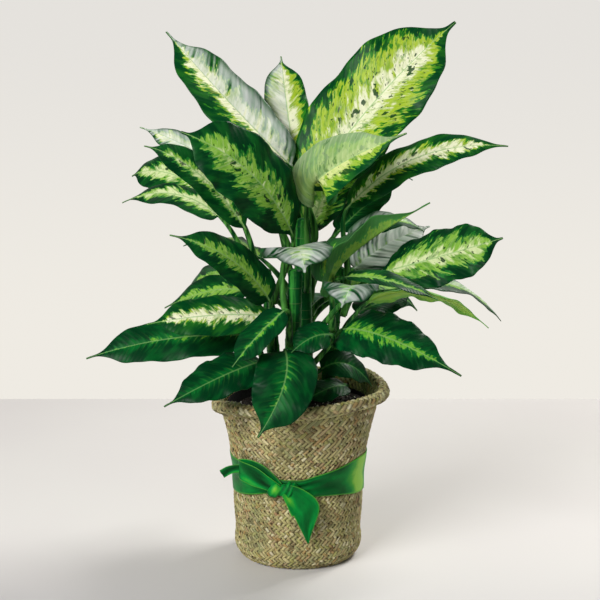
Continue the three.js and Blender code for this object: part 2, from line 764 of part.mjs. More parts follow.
place("basket", basket(), look(0xa5946e, 0.85));
place("ribbon", ribbon(), look(0x0a7a38, 0.5));
place("grower_pot", growerPot(), look(0x1c1c1c, 0.6));
place("potting_mix", pottingMix(), look(0x2a221c, 0.95));
for (const cane of Object.keys(CANES)) {
  place(`cane_${cane}`, caneStem(cane), look(0x6a8a4a, 0.6));
}
Object.keys(LEAVES).forEach((name, index) => {
  place(`leaf_${name}`, leaf(name), leafLook(name, index));
});

export default plant;
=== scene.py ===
"""A potted dieffenbachia in a woven basket with a green ribbon, on a table under two soft lights."""

import math
from collections import namedtuple
from functools import partialmethod

import bpy
import numpy as np
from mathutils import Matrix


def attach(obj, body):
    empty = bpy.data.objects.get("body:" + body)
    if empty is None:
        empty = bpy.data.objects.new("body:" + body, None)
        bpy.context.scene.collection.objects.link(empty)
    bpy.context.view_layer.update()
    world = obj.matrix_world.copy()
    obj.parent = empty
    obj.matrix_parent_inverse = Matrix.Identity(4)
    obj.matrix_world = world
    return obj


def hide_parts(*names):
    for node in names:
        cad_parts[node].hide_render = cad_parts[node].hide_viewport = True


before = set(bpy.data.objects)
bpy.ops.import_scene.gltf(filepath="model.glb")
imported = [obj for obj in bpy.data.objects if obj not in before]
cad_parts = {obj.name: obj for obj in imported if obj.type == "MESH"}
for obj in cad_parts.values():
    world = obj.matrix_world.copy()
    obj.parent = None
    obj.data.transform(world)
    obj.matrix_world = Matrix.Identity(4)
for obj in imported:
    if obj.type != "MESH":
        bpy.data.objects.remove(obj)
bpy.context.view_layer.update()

# Sizes are in millimetres, as in the part, and become metres where a mesh is made
MM = 0.001

# Basket: (height, radius) of its wall from the foot up, and its rim's height at equal steps of turn
WALL_RADII = [(0, 70), (5, 75), (40, 79.5), (80, 82), (108, 82), (135, 85.5), (162, 91), (184, 98)]
WALL_TOP = 184
BASKET_WALL = 5
BASKET_FLOOR = 5
FLARE_FOOT = 135
RIM_TOPS = [220, 226, 216, 206, 203, 217, 220, 224]
RIM_RADIUS = 105
RIM_THICKNESS = 15
RIM_SHIFT = 3.5
RIM_ROLL = (-58, 176)
# Stations are the rows of its outline, from the foot over the rim to the inside
FOOT_STATIONS = (0.9, 2.6)
STATION_STEP = 3.5
RIM_STATIONS = 26
INSIDE_STEP = 3
INSIDE_FOOT = 150

# Plait: strips in two slanting families, each over one or two of the other and then under as many
STRIPS_EACH_WAY = 82
STEPS_PER_CROSSING = 2
SPACING_ANGLE = 1.2
STRIP_FILL = 0.93
STRIP_PROFILE = [(-1, -0.9), (0.1, 0.2), (1, -0.9)]
STRIP_WANDER = 0.2
WIDTH_CHANGE = 0.12
WIDTH_SPREAD = 0.09
HEIGHT_CHANGE = 0.14
ROLL_CHANGE = 0.16
WEAVE_REPEAT = 3
WEAVE_STEEPNESS = 1.6
WEAVE_FAVOUR = 0.45
WEAVE_DEPTH = 0.75
WEAVE_INSET = 0.5
SECOND_FAMILY = 200
SHELL_SIDES = 96
SHELL_INSET = 1.9
SHELL_INSIDE = [(80, 108), (74.5, 40), (70, BASKET_FLOOR)]
SHELL_FOOT = 0.6

# Grower pot and potting mix
POT_SIDES = 72
POT_FOOT_RADIUS = 62
POT_TOP_RADIUS = 88
POT_TOP = 201
POT_WALL = 1.6
POT_ROUNDING = 2
POT_LIP = 0.9
LIP_FOOT = 186
LIP_ROUNDING = 0.6
CLEARANCE = 0.3
MIX_SIDES = 90
MIX_RINGS = 36
MIX_SHOULDER = 180
MIX_EDGE_HEIGHT = 193
MIX_SLOPE = 0.06
MIX_MOUND = 6
MIX_ROUGHNESS = 1.6
MIX_SINK = 0.6
GRAIN_MARGIN = 2.5

# Canes
CANE_FOOT = 150
CANE_STRAIGHT_TO = 206
CANE_SIDES = 24
CANE_ROW_STEP = 1.6
CANE_TOP_ROWS = np.array([2.4, 1.2, 0.4, 0])
CANE_ROUNDING = 3
CANE_INSET = 0.15
SCAR_PITCH = 13
SCAR_UNEVENNESS = 0.35
SCAR_WIDTH = 0.09
SCAR_HEIGHT = 0.5
SHOULDER = 0.5
CANES = {
    "middle": {"foot": (8, 14), "top": (6, 22, 430), "radius": (12, 9.5)},
    "left": {"foot": (-26, -2), "top": (-40, -8, 372), "radius": (9.5, 6.5)},
    "right": {"foot": (36, 2), "top": (52, 4, 372), "radius": (9.5, 6.5)},
    "front": {"foot": (-9, -32), "top": (-3, -40, 378), "radius": (11, 8.5)},
    "back": {"foot": (0, 48), "top": (6, 66, 356), "radius": (9.5, 6.5)},
}

# Blades
BLADE_ROWS = 57
TIP_CROWDING = 0.35
BLADE_THICKNESS = 0.8
BLADE_CURL = 22
BLADE_OUTLINE = [
    (0, 0.1), (0.05, 0.5), (0.14, 0.8), (0.28, 0.97), (0.42, 1), (0.58, 0.97), (0.72, 0.84),
    (0.82, 0.6), (0.885, 0.26), (0.93, 0.09), (1, 0.03),
]
USUAL_BELLY = 0.42
ACROSS = np.array([-1, -0.95, -0.86, -0.74, -0.6, -0.46, -0.32, -0.18, -0.06, 0])
ACROSS = np.concatenate([ACROSS, -ACROSS[-2::-1]])
LOBE = 0.3
MARGIN_WAVE = 0.045
MARGIN_RIPPLE = 0.011
RIPPLES_PER_WAVE = 2.7
WAVE_LAG = 2
RIB_WIDTH = 3.2
RIB_AT_TIP = 0.2
RIB_GROOVE = 0.25
RIB_LINE = (1.9, 0.7)
# Side veins: how far apart on a blade of the usual width, how steeply they leave the midrib and bend on
VEIN_PITCH = 7.5
VEIN_WIDTH_REFERENCE = 70
VEIN_SLANT = 0.5
VEIN_BEND = 0.85
GOLDEN_SHARE = 0.618034

# Leaf stalks
STALK_ROWS = 15
STALK_RADIUS_AT_CANE = 4.8
STALK_RADIUS_AT_BLADE = 2.2
STALK_GAP = 0.1
STALK_END = 0.93
STALK_RISE = 0.35
STALK_SPREAD = 0.12
STALK_LEAD = 0.3
CHANNEL_DEPTH = 0.16
CHANNEL_WIDTH = 0.5

# A leaf grows from its cane at the start height. Its midrib runs from heel over crest to tip. Fold is the
# angle of its halves, waves the number in its margin, faces where the upper side looks, belly the share of
# its length at which it is widest, and twist its turn about the midrib. Look holds the share of its half
# width that is pale, the share of that which is cream, and how speckled it is. The painted sheen gives,
# for each half, the share that a painted reflection of the light covers.
Leaf = namedtuple(
    "Leaf", "name cane start heel crest tip width fold waves faces kind look silver belly twist",
    defaults=[(0, 0), USUAL_BELLY, 0],
)

LEAVES = [
    Leaf("top_right", "middle", 402, (14, 18, 469), (98, 37, 577), (195, 50, 671),
         122, 22, 3, (-0.35, -0.85, 0.35), "cream", (0.84, 0.22, 1), belly=0.45),
    Leaf("top_left", "middle", 420, (-10, 18, 498), (-88, 45, 575), (-166, 90, 656),
         76, 14, 3, (0.3, -0.75, 0.6), "cream", (0.54, 0.8, 0.6), silver=(0, 0.6)),
    Leaf("top_back", "middle", 424, (-6, 48, 508), (-15, 82, 568), (-22, 122, 622),
         56, 12, 3, (0.1, -0.75, 0.65), "cream", (0.8, 0.4, 0.6), silver=(0.6, 0)),
    Leaf("folded_middle", "middle", 340, (16, -10, 474), (53, -50, 510), (129, -80, 550),
         72, 34, 2, (0.45, -0.7, 0.5), "veiled", (0.8, 0.3, 1), silver=(0.66, 0), belly=0.3),
    Leaf("behind_folded", "middle", 320, (18, 36, 413), (53, 68, 477), (141, 84, 546),
         70, 10, 3, (-0.45, -0.7, 0.55), "green", (0.85, 0.2, 1)),
    Leaf("right_long", "right", 336, (64, 10, 448), (149, 0, 510), (257, -12, 525),
         54, 10, 3, (0.05, -0.62, 0.78), "cream", (0.55, 0.85, 0.9)),
    Leaf("right_dark", "back", 350, (52, 34, 412), (85, 58, 439), (127, 72, 468),
         44, 12, 2, (-0.2, -0.6, 0.78), "dark", (-0.1, 0, 0.3)),
    Leaf("right_marbled", "right", 293, (41, -40, 360), (70, -54, 404), (159, -66, 464),
         78, 44, 3, (-0.63, -0.56, 0.57), "veiled", (0.5, 0.0, 1), silver=(0.05, 0.15), belly=0.3, twist=-76),
    Leaf("right_edge_on", "right", 340, (66, -4, 408), (113, 18, 428), (159, 36, 410),
         46, 12, 2, (0.1, -0.25, 0.96), "green", (0.4, 0.2, 0.6), silver=(0.3, 0)),
    Leaf("right_grey", "right", 306, (72, 26, 366), (117, 52, 393), (169, 80, 409),
         62, 8, 2, (-0.1, -0.55, 0.83), "green", (0.25, 0, 0.4), silver=(0.95, 0.95)),
    Leaf("right_big", "right", 312, (106, -34, 373), (176, -50, 396), (248, -60, 420),
         78, 8, 4, (0.05, -0.72, 0.7), "green", (0.68, 0.4, 1), belly=0.5),
    Leaf("right_narrow", "right", 338, (59, -76, 375), (108, -84, 373), (168, -100, 352),
         32, 16, 2, (0.1, -0.35, 0.93), "green", (0.35, 0, 0.5)),
    Leaf("right_backlit", "right", 276, (90, -6, 330), (162, -18, 342), (236, -30, 301),
         62, 6, 3, (0.2, 0.35, 0.9), "lime", (0.8, 0.1, 0.2)),
    Leaf("right_far", "back", 298, (133, 52, 334), (202, 72, 333), (264, 90, 282),
         50, 10, 2, (0.3, -0.1, 0.95), "green", (0.6, 0.1, 0.5), silver=(0.5, 0)),
    Leaf("right_shade", "right", 276, (76, 26, 308), (109, 54, 316), (148, 76, 321),
         46, 8, 2, (0, -0.55, 0.84), "dark", (-0.1, 0, 0.3)),
    Leaf("front_right_pointing", "front", 262, (64, -90, 363), (62, -122, 372), (51, -150, 354),
         66, 12, 3, (0, -0.2, 0.98), "dark", (0.25, 0, 0.5), silver=(0.5, 0.5)),
    Leaf("front_left_pointing", "front", 310, (-15, -52, 396), (0, -96, 414), (8, -140, 394),
         86, 10, 3, (0, -0.2, 0.98), "green", (0.4, 0.6, 0.3), silver=(0.6, 0.7)),
    Leaf("left_blunt", "left", 358, (-88, 30, 446), (-162, 60, 480), (-212, 85, 473),
         56, 8, 2, (0.05, -0.65, 0.75), "green", (0.55, 0.7, 0.9), belly=0.5),
    Leaf("left_low_pair", "left", 331, (-98, -12, 439), (-156, 8, 463), (-220, 30, 448),
         42, 8, 2, (0, -0.5, 0.87), "green", (0.6, 0.7, 0.6), silver=(0.02, 0), belly=0.34),
    Leaf("left_grey", "left", 361, (-66, -28, 428), (-122, -50, 499), (-184, -60, 532),
         42, 12, 2, (-0.25, -0.65, 0.72), "green", (0.46, 0.6, 0.9)),
    Leaf("left_pale", "middle", 384, (-56, 12, 466), (-127, 45, 510), (-200, 75, 537),
         38, 8, 3, (-0.2, -0.6, 0.78), "cream", (0.7, 0.7, 0.4), silver=(0.7, 0.6)),
    Leaf("left_big", "left", 330, (-8, -52, 426), (-58, -94, 506), (-137, -106, 555),
         88, 10, 4, (0.15, -0.85, 0.5), "green", (0.5, 0.15, 1), belly=0.5),
    Leaf("left_feathered", "left", 300, (-36, -42, 340), (-82, -82, 399), (-152, -105, 432),
         50, 10, 3, (-0.1, -0.78, 0.62), "green", (0.36, 0.06, 0.9), belly=0.36),
    Leaf("left_behind", "left", 286, (-62, -12, 342), (-107, 10, 340), (-169, 30, 313),
         54, 10, 2, (-0.2, -0.55, 0.8), "green", (0.4, 0.15, 0.6)),
    Leaf("left_cream", "left", 270, (-38, -46, 320), (-105, -78, 328), (-182, -95, 321),
         54, 8, 3, (0, -0.78, 0.62), "cream", (0.42, 0.95, 0.8)),
    Leaf("left_long", "left", 244, (-68, -30, 292), (-164, -40, 289), (-262, -38, 264),
         62, 10, 3, (-0.05, -0.72, 0.7), "dark", (0.06, 0, 0.4), belly=0.36),
    Leaf("small_middle", "front", 284, (-18, -78, 333), (-48, -102, 309), (-78, -130, 277),
         40, 10, 2, (-0.4, -0.82, 0.4), "dark", (0.16, 0.1, 0.6)),
    Leaf("left_low", "left", 222, (-44, -60, 266), (-93, -104, 258), (-160, -130, 228),
         60, 10, 4, (-0.15, -0.7, 0.7), "dark", (-0.12, 0, 0.4), belly=0.35),
    Leaf("front_drooping", "front", 248, (-15, -84, 284), (-18, -126, 250), (-48, -142, 193),
         76, 12, 3, (0.1, -0.85, 0.5), "dark", (-0.05, 0, 0.4), belly=0.38),
    Leaf("small_dark", "front", 234, (38, -68, 302), (16, -78, 300), (-8, -88, 284),
         40, 10, 2, (-0.3, -0.82, 0.5), "dark", (-0.3, 0, 0.3)),
    Leaf("right_low", "right", 270, (57, -40, 302), (112, -92, 302), (196, -115, 262),
         70, 8, 5, (0.2, -0.8, 0.56), "dark", (0.26, 0.02, 0.6), belly=0.31),
    Leaf("basket_right", "front", 227, (30, -34, 250), (62, -27, 254), (93, -10, 221),
         42, 10, 2, (0.2, -0.6, 0.78), "dark", (-0.3, 0, 0.3)),
    Leaf("basket_front", "front", 218, (59, -48, 232), (36, -68, 233), (7, -86, 222),
         38, 10, 2, (-0.2, -0.6, 0.78), "dark", (-0.3, 0, 0.3)),
    Leaf("back_left_high", "back", 340, (-34, 74, 432), (-86, 108, 478), (-146, 132, 474),
         74, 10, 3, (-0.2, 0.3, 0.93), "green", (0.7, 0.5, 0.7)),
    Leaf("back_right_high", "back", 328, (58, 84, 424), (96, 126, 470), (150, 148, 458),
         76, 10, 3, (0.2, 0.3, 0.93), "green", (0.72, 0.5, 0.7)),
    Leaf("back_middle", "back", 318, (12, 104, 396), (0, 158, 428), (-8, 214, 392),
         80, 10, 4, (0, -0.1, 0.99), "green", (0.6, 0.35, 0.8)),
    Leaf("back_left_low", "back", 292, (-48, 70, 330), (-102, 104, 342), (-156, 138, 302),
         66, 10, 3, (-0.1, -0.45, 0.89), "green", (0.45, 0.1, 0.6)),
    Leaf("back_right_low", "back", 282, (54, 84, 318), (106, 114, 326), (158, 142, 284),
         68, 10, 3, (0.1, -0.45, 0.89), "green", (0.45, 0.15, 0.6)),
    Leaf("back_low", "back", 262, (2, 102, 300), (8, 154, 304), (14, 204, 258),
         70, 10, 3, (0, -0.45, 0.89), "dark", (0.35, 0, 0.5)),
    Leaf("back_left_top", "middle", 400, (-26, 54, 472), (-62, 100, 540), (-104, 140, 588),
         66, 10, 3, (-0.2, -0.5, 0.84), "cream", (0.8, 0.7, 0.6)),
    Leaf("back_right_top", "back", 346, (38, 96, 462), (81, 128, 517), (125, 180, 552),
         70, 10, 3, (0.2, -0.4, 0.88), "cream", (0.78, 0.7, 0.6)),
    Leaf("back_middle_high", "back", 350, (-6, 90, 440), (-4, 150, 494), (-10, 206, 510),
         72, 10, 3, (0, -0.1, 0.98), "cream", (0.75, 0.6, 0.7)),
    Leaf("back_left_mid", "back", 318, (-50, 66, 372), (-100, 98, 388), (-150, 128, 374),
         64, 10, 3, (-0.2, 0.2, 0.95), "green", (0.6, 0.3, 0.7)),
    Leaf("back_right_mid", "right", 327, (62, 76, 372), (108, 102, 392), (166, 130, 376),
         66, 10, 3, (0.2, 0.2, 0.95), "green", (0.55, 0.3, 0.7)),
]

# Ribbon: lower and upper edge of the band at each turn from +X towards +Y, in degrees
BAND_EDGES = np.array([
    (0, 87, 136), (90, 86, 134), (180, 87, 135), (205, 90, 136), (225, 95, 135), (242, 101, 127),
    (258, 103, 121), (270, 98, 121), (287, 99, 127), (300, 98, 131), (335, 90, 138), (360, 87, 136),
])
BAND_ROWS = 240
BAND_COLUMNS = 21
BAND_RADIUS = 85
BAND_DRIFT = 0.5
CREASE_HEIGHT = 0.5
RIBBON_THICKNESS = 0.6
KNOT_TURN = 262
KNOT_GATHER = 30
KNOT_PLEATS = 1.9
KNOT_CENTRE = (-18, -91, 111)
KNOT_HEIGHT = 22
KNOT_DEPTH = 15
KNOT_SHAPE = [(-19, 0.35), (-15, 0.76), (-9, 0.86), (-3, 0.66), (1, 0.74), (8, 1), (17, 0.5)]
KNOT_ROWS = 34
KNOT_SIDES = 48
# A strip has stops, each with a place, a width and the way across, and starts far from others in the cloth
STRIP_COLUMNS = 17
STRIP_OFFSET = 500
NARROW_STRIP = 14
EDGE_CURL = 1.2

# Table, wall, camera and lights; a light has a place, a target, a size, watts and a colour
TABLE_HALF_WIDTH = 3000
TABLE_NEAR_EDGE = -3200
TABLE_FAR_EDGE = 730
TABLE_THICKNESS = 40
WALL_PLACE = 3400
WALL_HALF_WIDTH = 3200
WALL_HEIGHTS = (-1600, 3600)
CAMERA_DISTANCE = 2400
CAMERA_TILT = 12.5
CAMERA_AIM = (2.5, 0, 330)
CAMERA_LENS = 115.2
CAMERA_SENSOR = 36
ROOM_LIGHT = 0.16
SOFTBOXES = {
    "softbox_right": ((1260, 1050, 1900), (0, 0, 250), (800, 700), 50, (1, 0.98, 0.95)),
    "softbox_left": ((-1250, -1750, 1450), (0, 0, 300), (1300, 1000), 59, (1, 0.99, 0.99)),
}

rng = np.random.default_rng(20)


# Numbers
def mix(a, b, share):
    return a + (b - a) * share


def unit(rows):
    return rows / np.linalg.norm(rows, axis=-1, keepdims=True)


def bell(value, centre, spread):
    return np.exp(-(((value - centre) / spread) ** 2))


def columns(*values):
    """Numbers and arrays, spread to one shape and set side by side."""
    return np.stack(np.broadcast_arrays(*values), axis=-1)


def polar(radius, angle, height):
    """Points at a radius, an angle from +X towards +Y and a height."""
    return columns(radius * np.cos(angle), radius * np.sin(angle), height)


def moved(ways, far):
    """A way for each row, times how far each point of the row goes along it."""
    return ways[:, None, :] * far[:, :, None]


def full_turn(count):
    return 2 * math.pi * np.arange(count) / count


def length_along(path):
    """How far each point of a path lies along it."""
    return np.concatenate([[0], np.cumsum(np.linalg.norm(np.diff(path, axis=0), axis=1))])


def along_list(pairs, places):
    """Values of a list of (place, value) pairs at places between them, on a smooth curve."""
    at, value = np.array(pairs, float).T
    slope = np.gradient(value, at)
    # A slope is held back where the values turn, so that the curve doesn't overshoot
    steps = np.diff(value) / np.diff(at)
    for i in range(1, len(at) - 1):
        if steps[i - 1] * steps[i] <= 0:
            slope[i] = 0
    places = np.clip(places, at[0], at[-1])
    i = np.clip(np.searchsorted(at, places, side="right") - 1, 0, len(at) - 2)
    width = at[i + 1] - at[i]
    t = (places - at[i]) / width
    return (
        value[i] * (2 * t**3 - 3 * t**2 + 1)
        + value[i + 1] * (3 * t**2 - 2 * t**3)
        + slope[i] * width * (t**3 - 2 * t**2 + t)
        + slope[i + 1] * width * (t**3 - t**2)
    )


def bezier(points, share):
    """Point and tangent of a curve over its three or four control points."""
    share = share[:, None]

    def weighed(points):
        last = len(points) - 1
        weights = [math.comb(last, k) * share**k * (1 - share) ** (last - k) for k in range(last + 1)]
        return sum(weight * point for weight, point in zip(weights, points))

    return weighed(np.array(points, float)), unit(weighed(np.diff(points, axis=0)))


def waviness(places, pitch, waves, size):
    """A gentle random wander along places, with its own waves each time it is called."""
    total = np.zeros_like(places)
    for k in range(waves):
        total += np.sin(2 * math.pi * (places / (pitch * (1 + 0.7 * k)) + rng.random())) / waves
    return size * total


# Meshes
def loft_faces(rings, count, closed=False):
    """Quads between rings of points, where every ring has the same count of points."""
    i, k = np.meshgrid(np.arange(rings if closed else rings - 1), np.arange(count), indexing="ij")
    after = (i + 1) % rings
    a, b = i * count + k, i * count + (k + 1) % count
    c, d = after * count + (k + 1) % count, after * count + k
    return columns(a, b, c, d).reshape(-1, 4).tolist()


def end_faces(first, count, turned_over):
    """Faces that close a flat ring, whose second half runs back under its first."""
    faces = []
    for k in range(count // 2 - 1):
        face = [first + k, first + k + 1, first + count - 2 - k, first + count - 1 - k]
        faces.append(face if turned_over else face[::-1])
    return faces


def tube_faces(rings, count):
    """A loft with both ends closed."""
    last = (rings - 1) * count
    return loft_faces(rings, count) + end_faces(0, count, False) + end_faces(last, count, True)


def pole_faces(first, count, pole, turned_over):
    """Triangles between a ring of points and its pole."""
    faces = []
    for k in range(count):
        side = [first + k, first + (k + 1) % count]
        faces.append((side[::-1] if turned_over else side) + [pole])
    return faces


def wrapped(upper, lower):
    """Rows that run over an upper face and back under the lower one."""
    return np.concatenate([upper, lower[:, ::-1]], axis=1)


def joined(parts):
    """Several sets of points, faces and what is told of each point, as one."""
    points, faces, told = [], [], []
    for part_points, part_faces, part_told in parts:
        first = sum(len(rows) for rows in points)
        points.append(part_points.reshape(-1, 3))
        faces += [[first + v for v in face] for face in part_faces]
        told.append(part_told.reshape(-1, 3))
    return np.concatenate(points), faces, np.concatenate(told)


def put(name, data):
    piece = bpy.data.objects.new(name, data)
    bpy.context.scene.collection.objects.link(piece)
    return piece


def make_piece(name, points, faces, finishes, told=(), smooth=True, finish_of_face=None):
    """A mesh object from points in millimetres; told has what its materials read at each point."""
    points = np.asarray(points, float)
    mesh = bpy.data.meshes.new(name)
    mesh.from_pydata((points.reshape(-1, 3) * MM).tolist(), [], faces)
    for finish in finishes:
        mesh.materials.append(finish)
    mesh.polygons.foreach_set("use_smooth", np.full(len(faces), smooth))
    if finish_of_face is not None:
        mesh.polygons.foreach_set("material_index", np.asarray(finish_of_face, np.int32))
    for key, values in dict(told).items():
        values = np.broadcast_to(values, points.shape).astype(np.float32)
        mesh.attributes.new(key, "FLOAT_VECTOR", "POINT").data.foreach_set("vector", values.ravel())
    mesh.validate()
    return put(name, mesh)


def stands_for(piece, node):
    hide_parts(node)
    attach(piece, "root")


def add_node(tree, kind, settings, inputs):
    """A node whose inputs are set to values or joined to other nodes' outputs."""
    made = tree.nodes.new(kind)
    for key, value in dict(settings).items():
        setattr(made, key, value)
    for key, value in dict(inputs).items():
        if isinstance(value, bpy.types.NodeSocket):
            tree.links.new(value, made.inputs[key])
        else:
            made.inputs[key].default_value = value
    return made


# Materials
def paint(red, green, blue):
    """A colour as the shader takes it, from screen values of 0 to 255."""
    screen = [value / 255 for value in (red, green, blue)]
    return (*(v / 12.92 if v <= 0.04045 else ((v + 0.055) / 1.055) ** 2.4 for v in screen), 1.0)


class Wire:
    """One value in a material, with Python's arithmetic."""

    def __init__(self, finish, socket):
        self.finish = finish
        self.socket = socket

    def math(self, operation, *values):
        return self.finish.node("ShaderNodeMath", {"operation": operation}, dict(enumerate(values)))

    def pair(self, operation, other):
        return self.math(operation, self, other)

    __add__ = __radd__ = partialmethod(pair, "ADD")
    __mul__ = __rmul__ = partialmethod(pair, "MULTIPLY")
    __sub__ = partialmethod(pair, "SUBTRACT")
    __pow__ = partialmethod(pair, "POWER")
    over = partialmethod(pair, "GREATER_THAN")
    least = partialmethod(pair, "MINIMUM")
    most = partialmethod(pair, "MAXIMUM")

    def __rsub__(self, other):
        return self.math("SUBTRACT", other, self)

    def __abs__(self):
        return self.math("ABSOLUTE", self)

    def whole(self):
        return self.math("FLOOR", self)

    def wave(self):
        """A cosine that repeats at every whole number."""
        return self.math("COSINE", self * (2 * math.pi))

    def eased(self, low, high):
        """0 up to low, 1 from high on, and an even rise between them; a fall if low is the higher."""
        settings = {"interpolation_type": "SMOOTHSTEP"}
        return self.finish.node("ShaderNodeMapRange", settings, {0: self, 1: low, 2: high, 3: 0.0, 4: 1.0})


class Finish:
    """A material around one Principled shader."""

    def __init__(self, name, **constants):
        self.material = bpy.data.materials.new(name)
        self.material.use_nodes = True
        self.tree = self.material.node_tree
        self.shader = self.tree.nodes["Principled BSDF"]
        for socket, value in constants.items():
            self.shader.inputs[socket.replace("_", " ")].default_value = value

    def node(self, kind, settings=(), inputs=(), out=0):
        inputs = {key: getattr(value, "socket", value) for key, value in dict(inputs).items()}
        return Wire(self, add_node(self.tree, kind, settings, inputs).outputs[out])

    def parts(self, vector):
        """The three numbers of a vector."""
        split = self.node("ShaderNodeSeparateXYZ", inputs={0: vector}).socket.node
        return [Wire(self, output) for output in split.outputs]

    def told(self, name):
        """The three numbers of a point's attribute."""
        return self.parts(self.node("ShaderNodeAttribute", {"attribute_name": name}, out=1))

    def place(self):
        return self.node("ShaderNodeTexCoord", out=3)

    def join(self, x, y, z):
        return self.node("ShaderNodeCombineXYZ", inputs={0: x, 1: y, 2: z})

    def stretched(self, vector, scale):
        return self.node("ShaderNodeVectorMath", {"operation": "MULTIPLY"}, {0: vector, 1: scale})

    def noise(self, vector, scale=1.0, detail=2.0):
        values = {"Vector": vector, "Scale": scale, "Detail": detail, "Roughness": 0.5}
        return self.node("ShaderNodeTexNoise", inputs=values)

    def chance(self, x, y):
        """A random number from 0 to 1 for each pair of whole numbers."""
        return self.node("ShaderNodeTexWhiteNoise", {"noise_dimensions": "2D"}, {0: self.join(x, y, 0.0)})

    def blend(self, a, b, share):
        """One colour blended into another, each a wire or a screen colour."""
        a, b = (paint(*value) if isinstance(value, tuple) else value for value in (a, b))
        return self.node("ShaderNodeMix", {"data_type": "RGBA"}, {0: share, 6: a, 7: b}, out=2)

    def layered(self, colour, *layers):
        """A colour with others laid over it in turn, each with its share."""
        for tint, share in layers:
            colour = self.blend(colour, tint, share)
        return colour

    def ramp(self, share, stops):
        """A colour on its way along stops, each a place from 0 to 1 and a screen colour."""
        wire = self.node("ShaderNodeValToRGB", inputs={0: share})
        elements = wire.socket.node.color_ramp.elements
        while len(elements) < len(stops):
            elements.new(0.5)
        for element, (place, colour) in zip(elements, stops):
            element.position = place
            element.color = paint(*colour)
        return wire

    def bump(self, height, distance, strength=1.0, after=None):
        values = {"Height": height, "Distance": distance, "Strength": strength}
        if after is not None:
            values["Normal"] = after
        return self.node("ShaderNodeBump", inputs=values)

    def ends(self, **links):
        """Joins the shader's sockets to their wires and gives the material."""
        for socket, wire in links.items():
            self.tree.links.new(wire.socket, self.shader.inputs[socket.replace("_", " ")])
        return self.material


# Leaf paints: deep green, green, lime and cream, and for some kinds the under side and the tones of
# the painted sheen, a painted reflection
USUAL_BELOW = (44, 122, 50)
# The two tones of the painted sheen, a painted reflection, from grey green to near white
PAINTED_SHEEN_TONES = ((138, 164, 146), (246, 249, 246))
LEAF_PAINTS = {
    "cream": [(0, 64, 26), (46, 128, 30), (164, 192, 48), (238, 240, 206)],
    "green": [(0, 52, 22), (26, 110, 36), (130, 180, 64), (214, 226, 170)],
    "dark": [(0, 52, 23), (8, 106, 40), (104, 172, 50), (190, 212, 104)],
    # The lime kind is brighter all over: painted light that shines through a backlit leaf
    "lime": [(72, 150, 44), (104, 172, 56), (152, 196, 68), (208, 220, 108), (136, 190, 78)],
    "veiled": [(0, 66, 28), (48, 126, 38), (150, 186, 56), (214, 222, 150), (62, 152, 64),
               ((92, 146, 68), (188, 212, 158))],
}


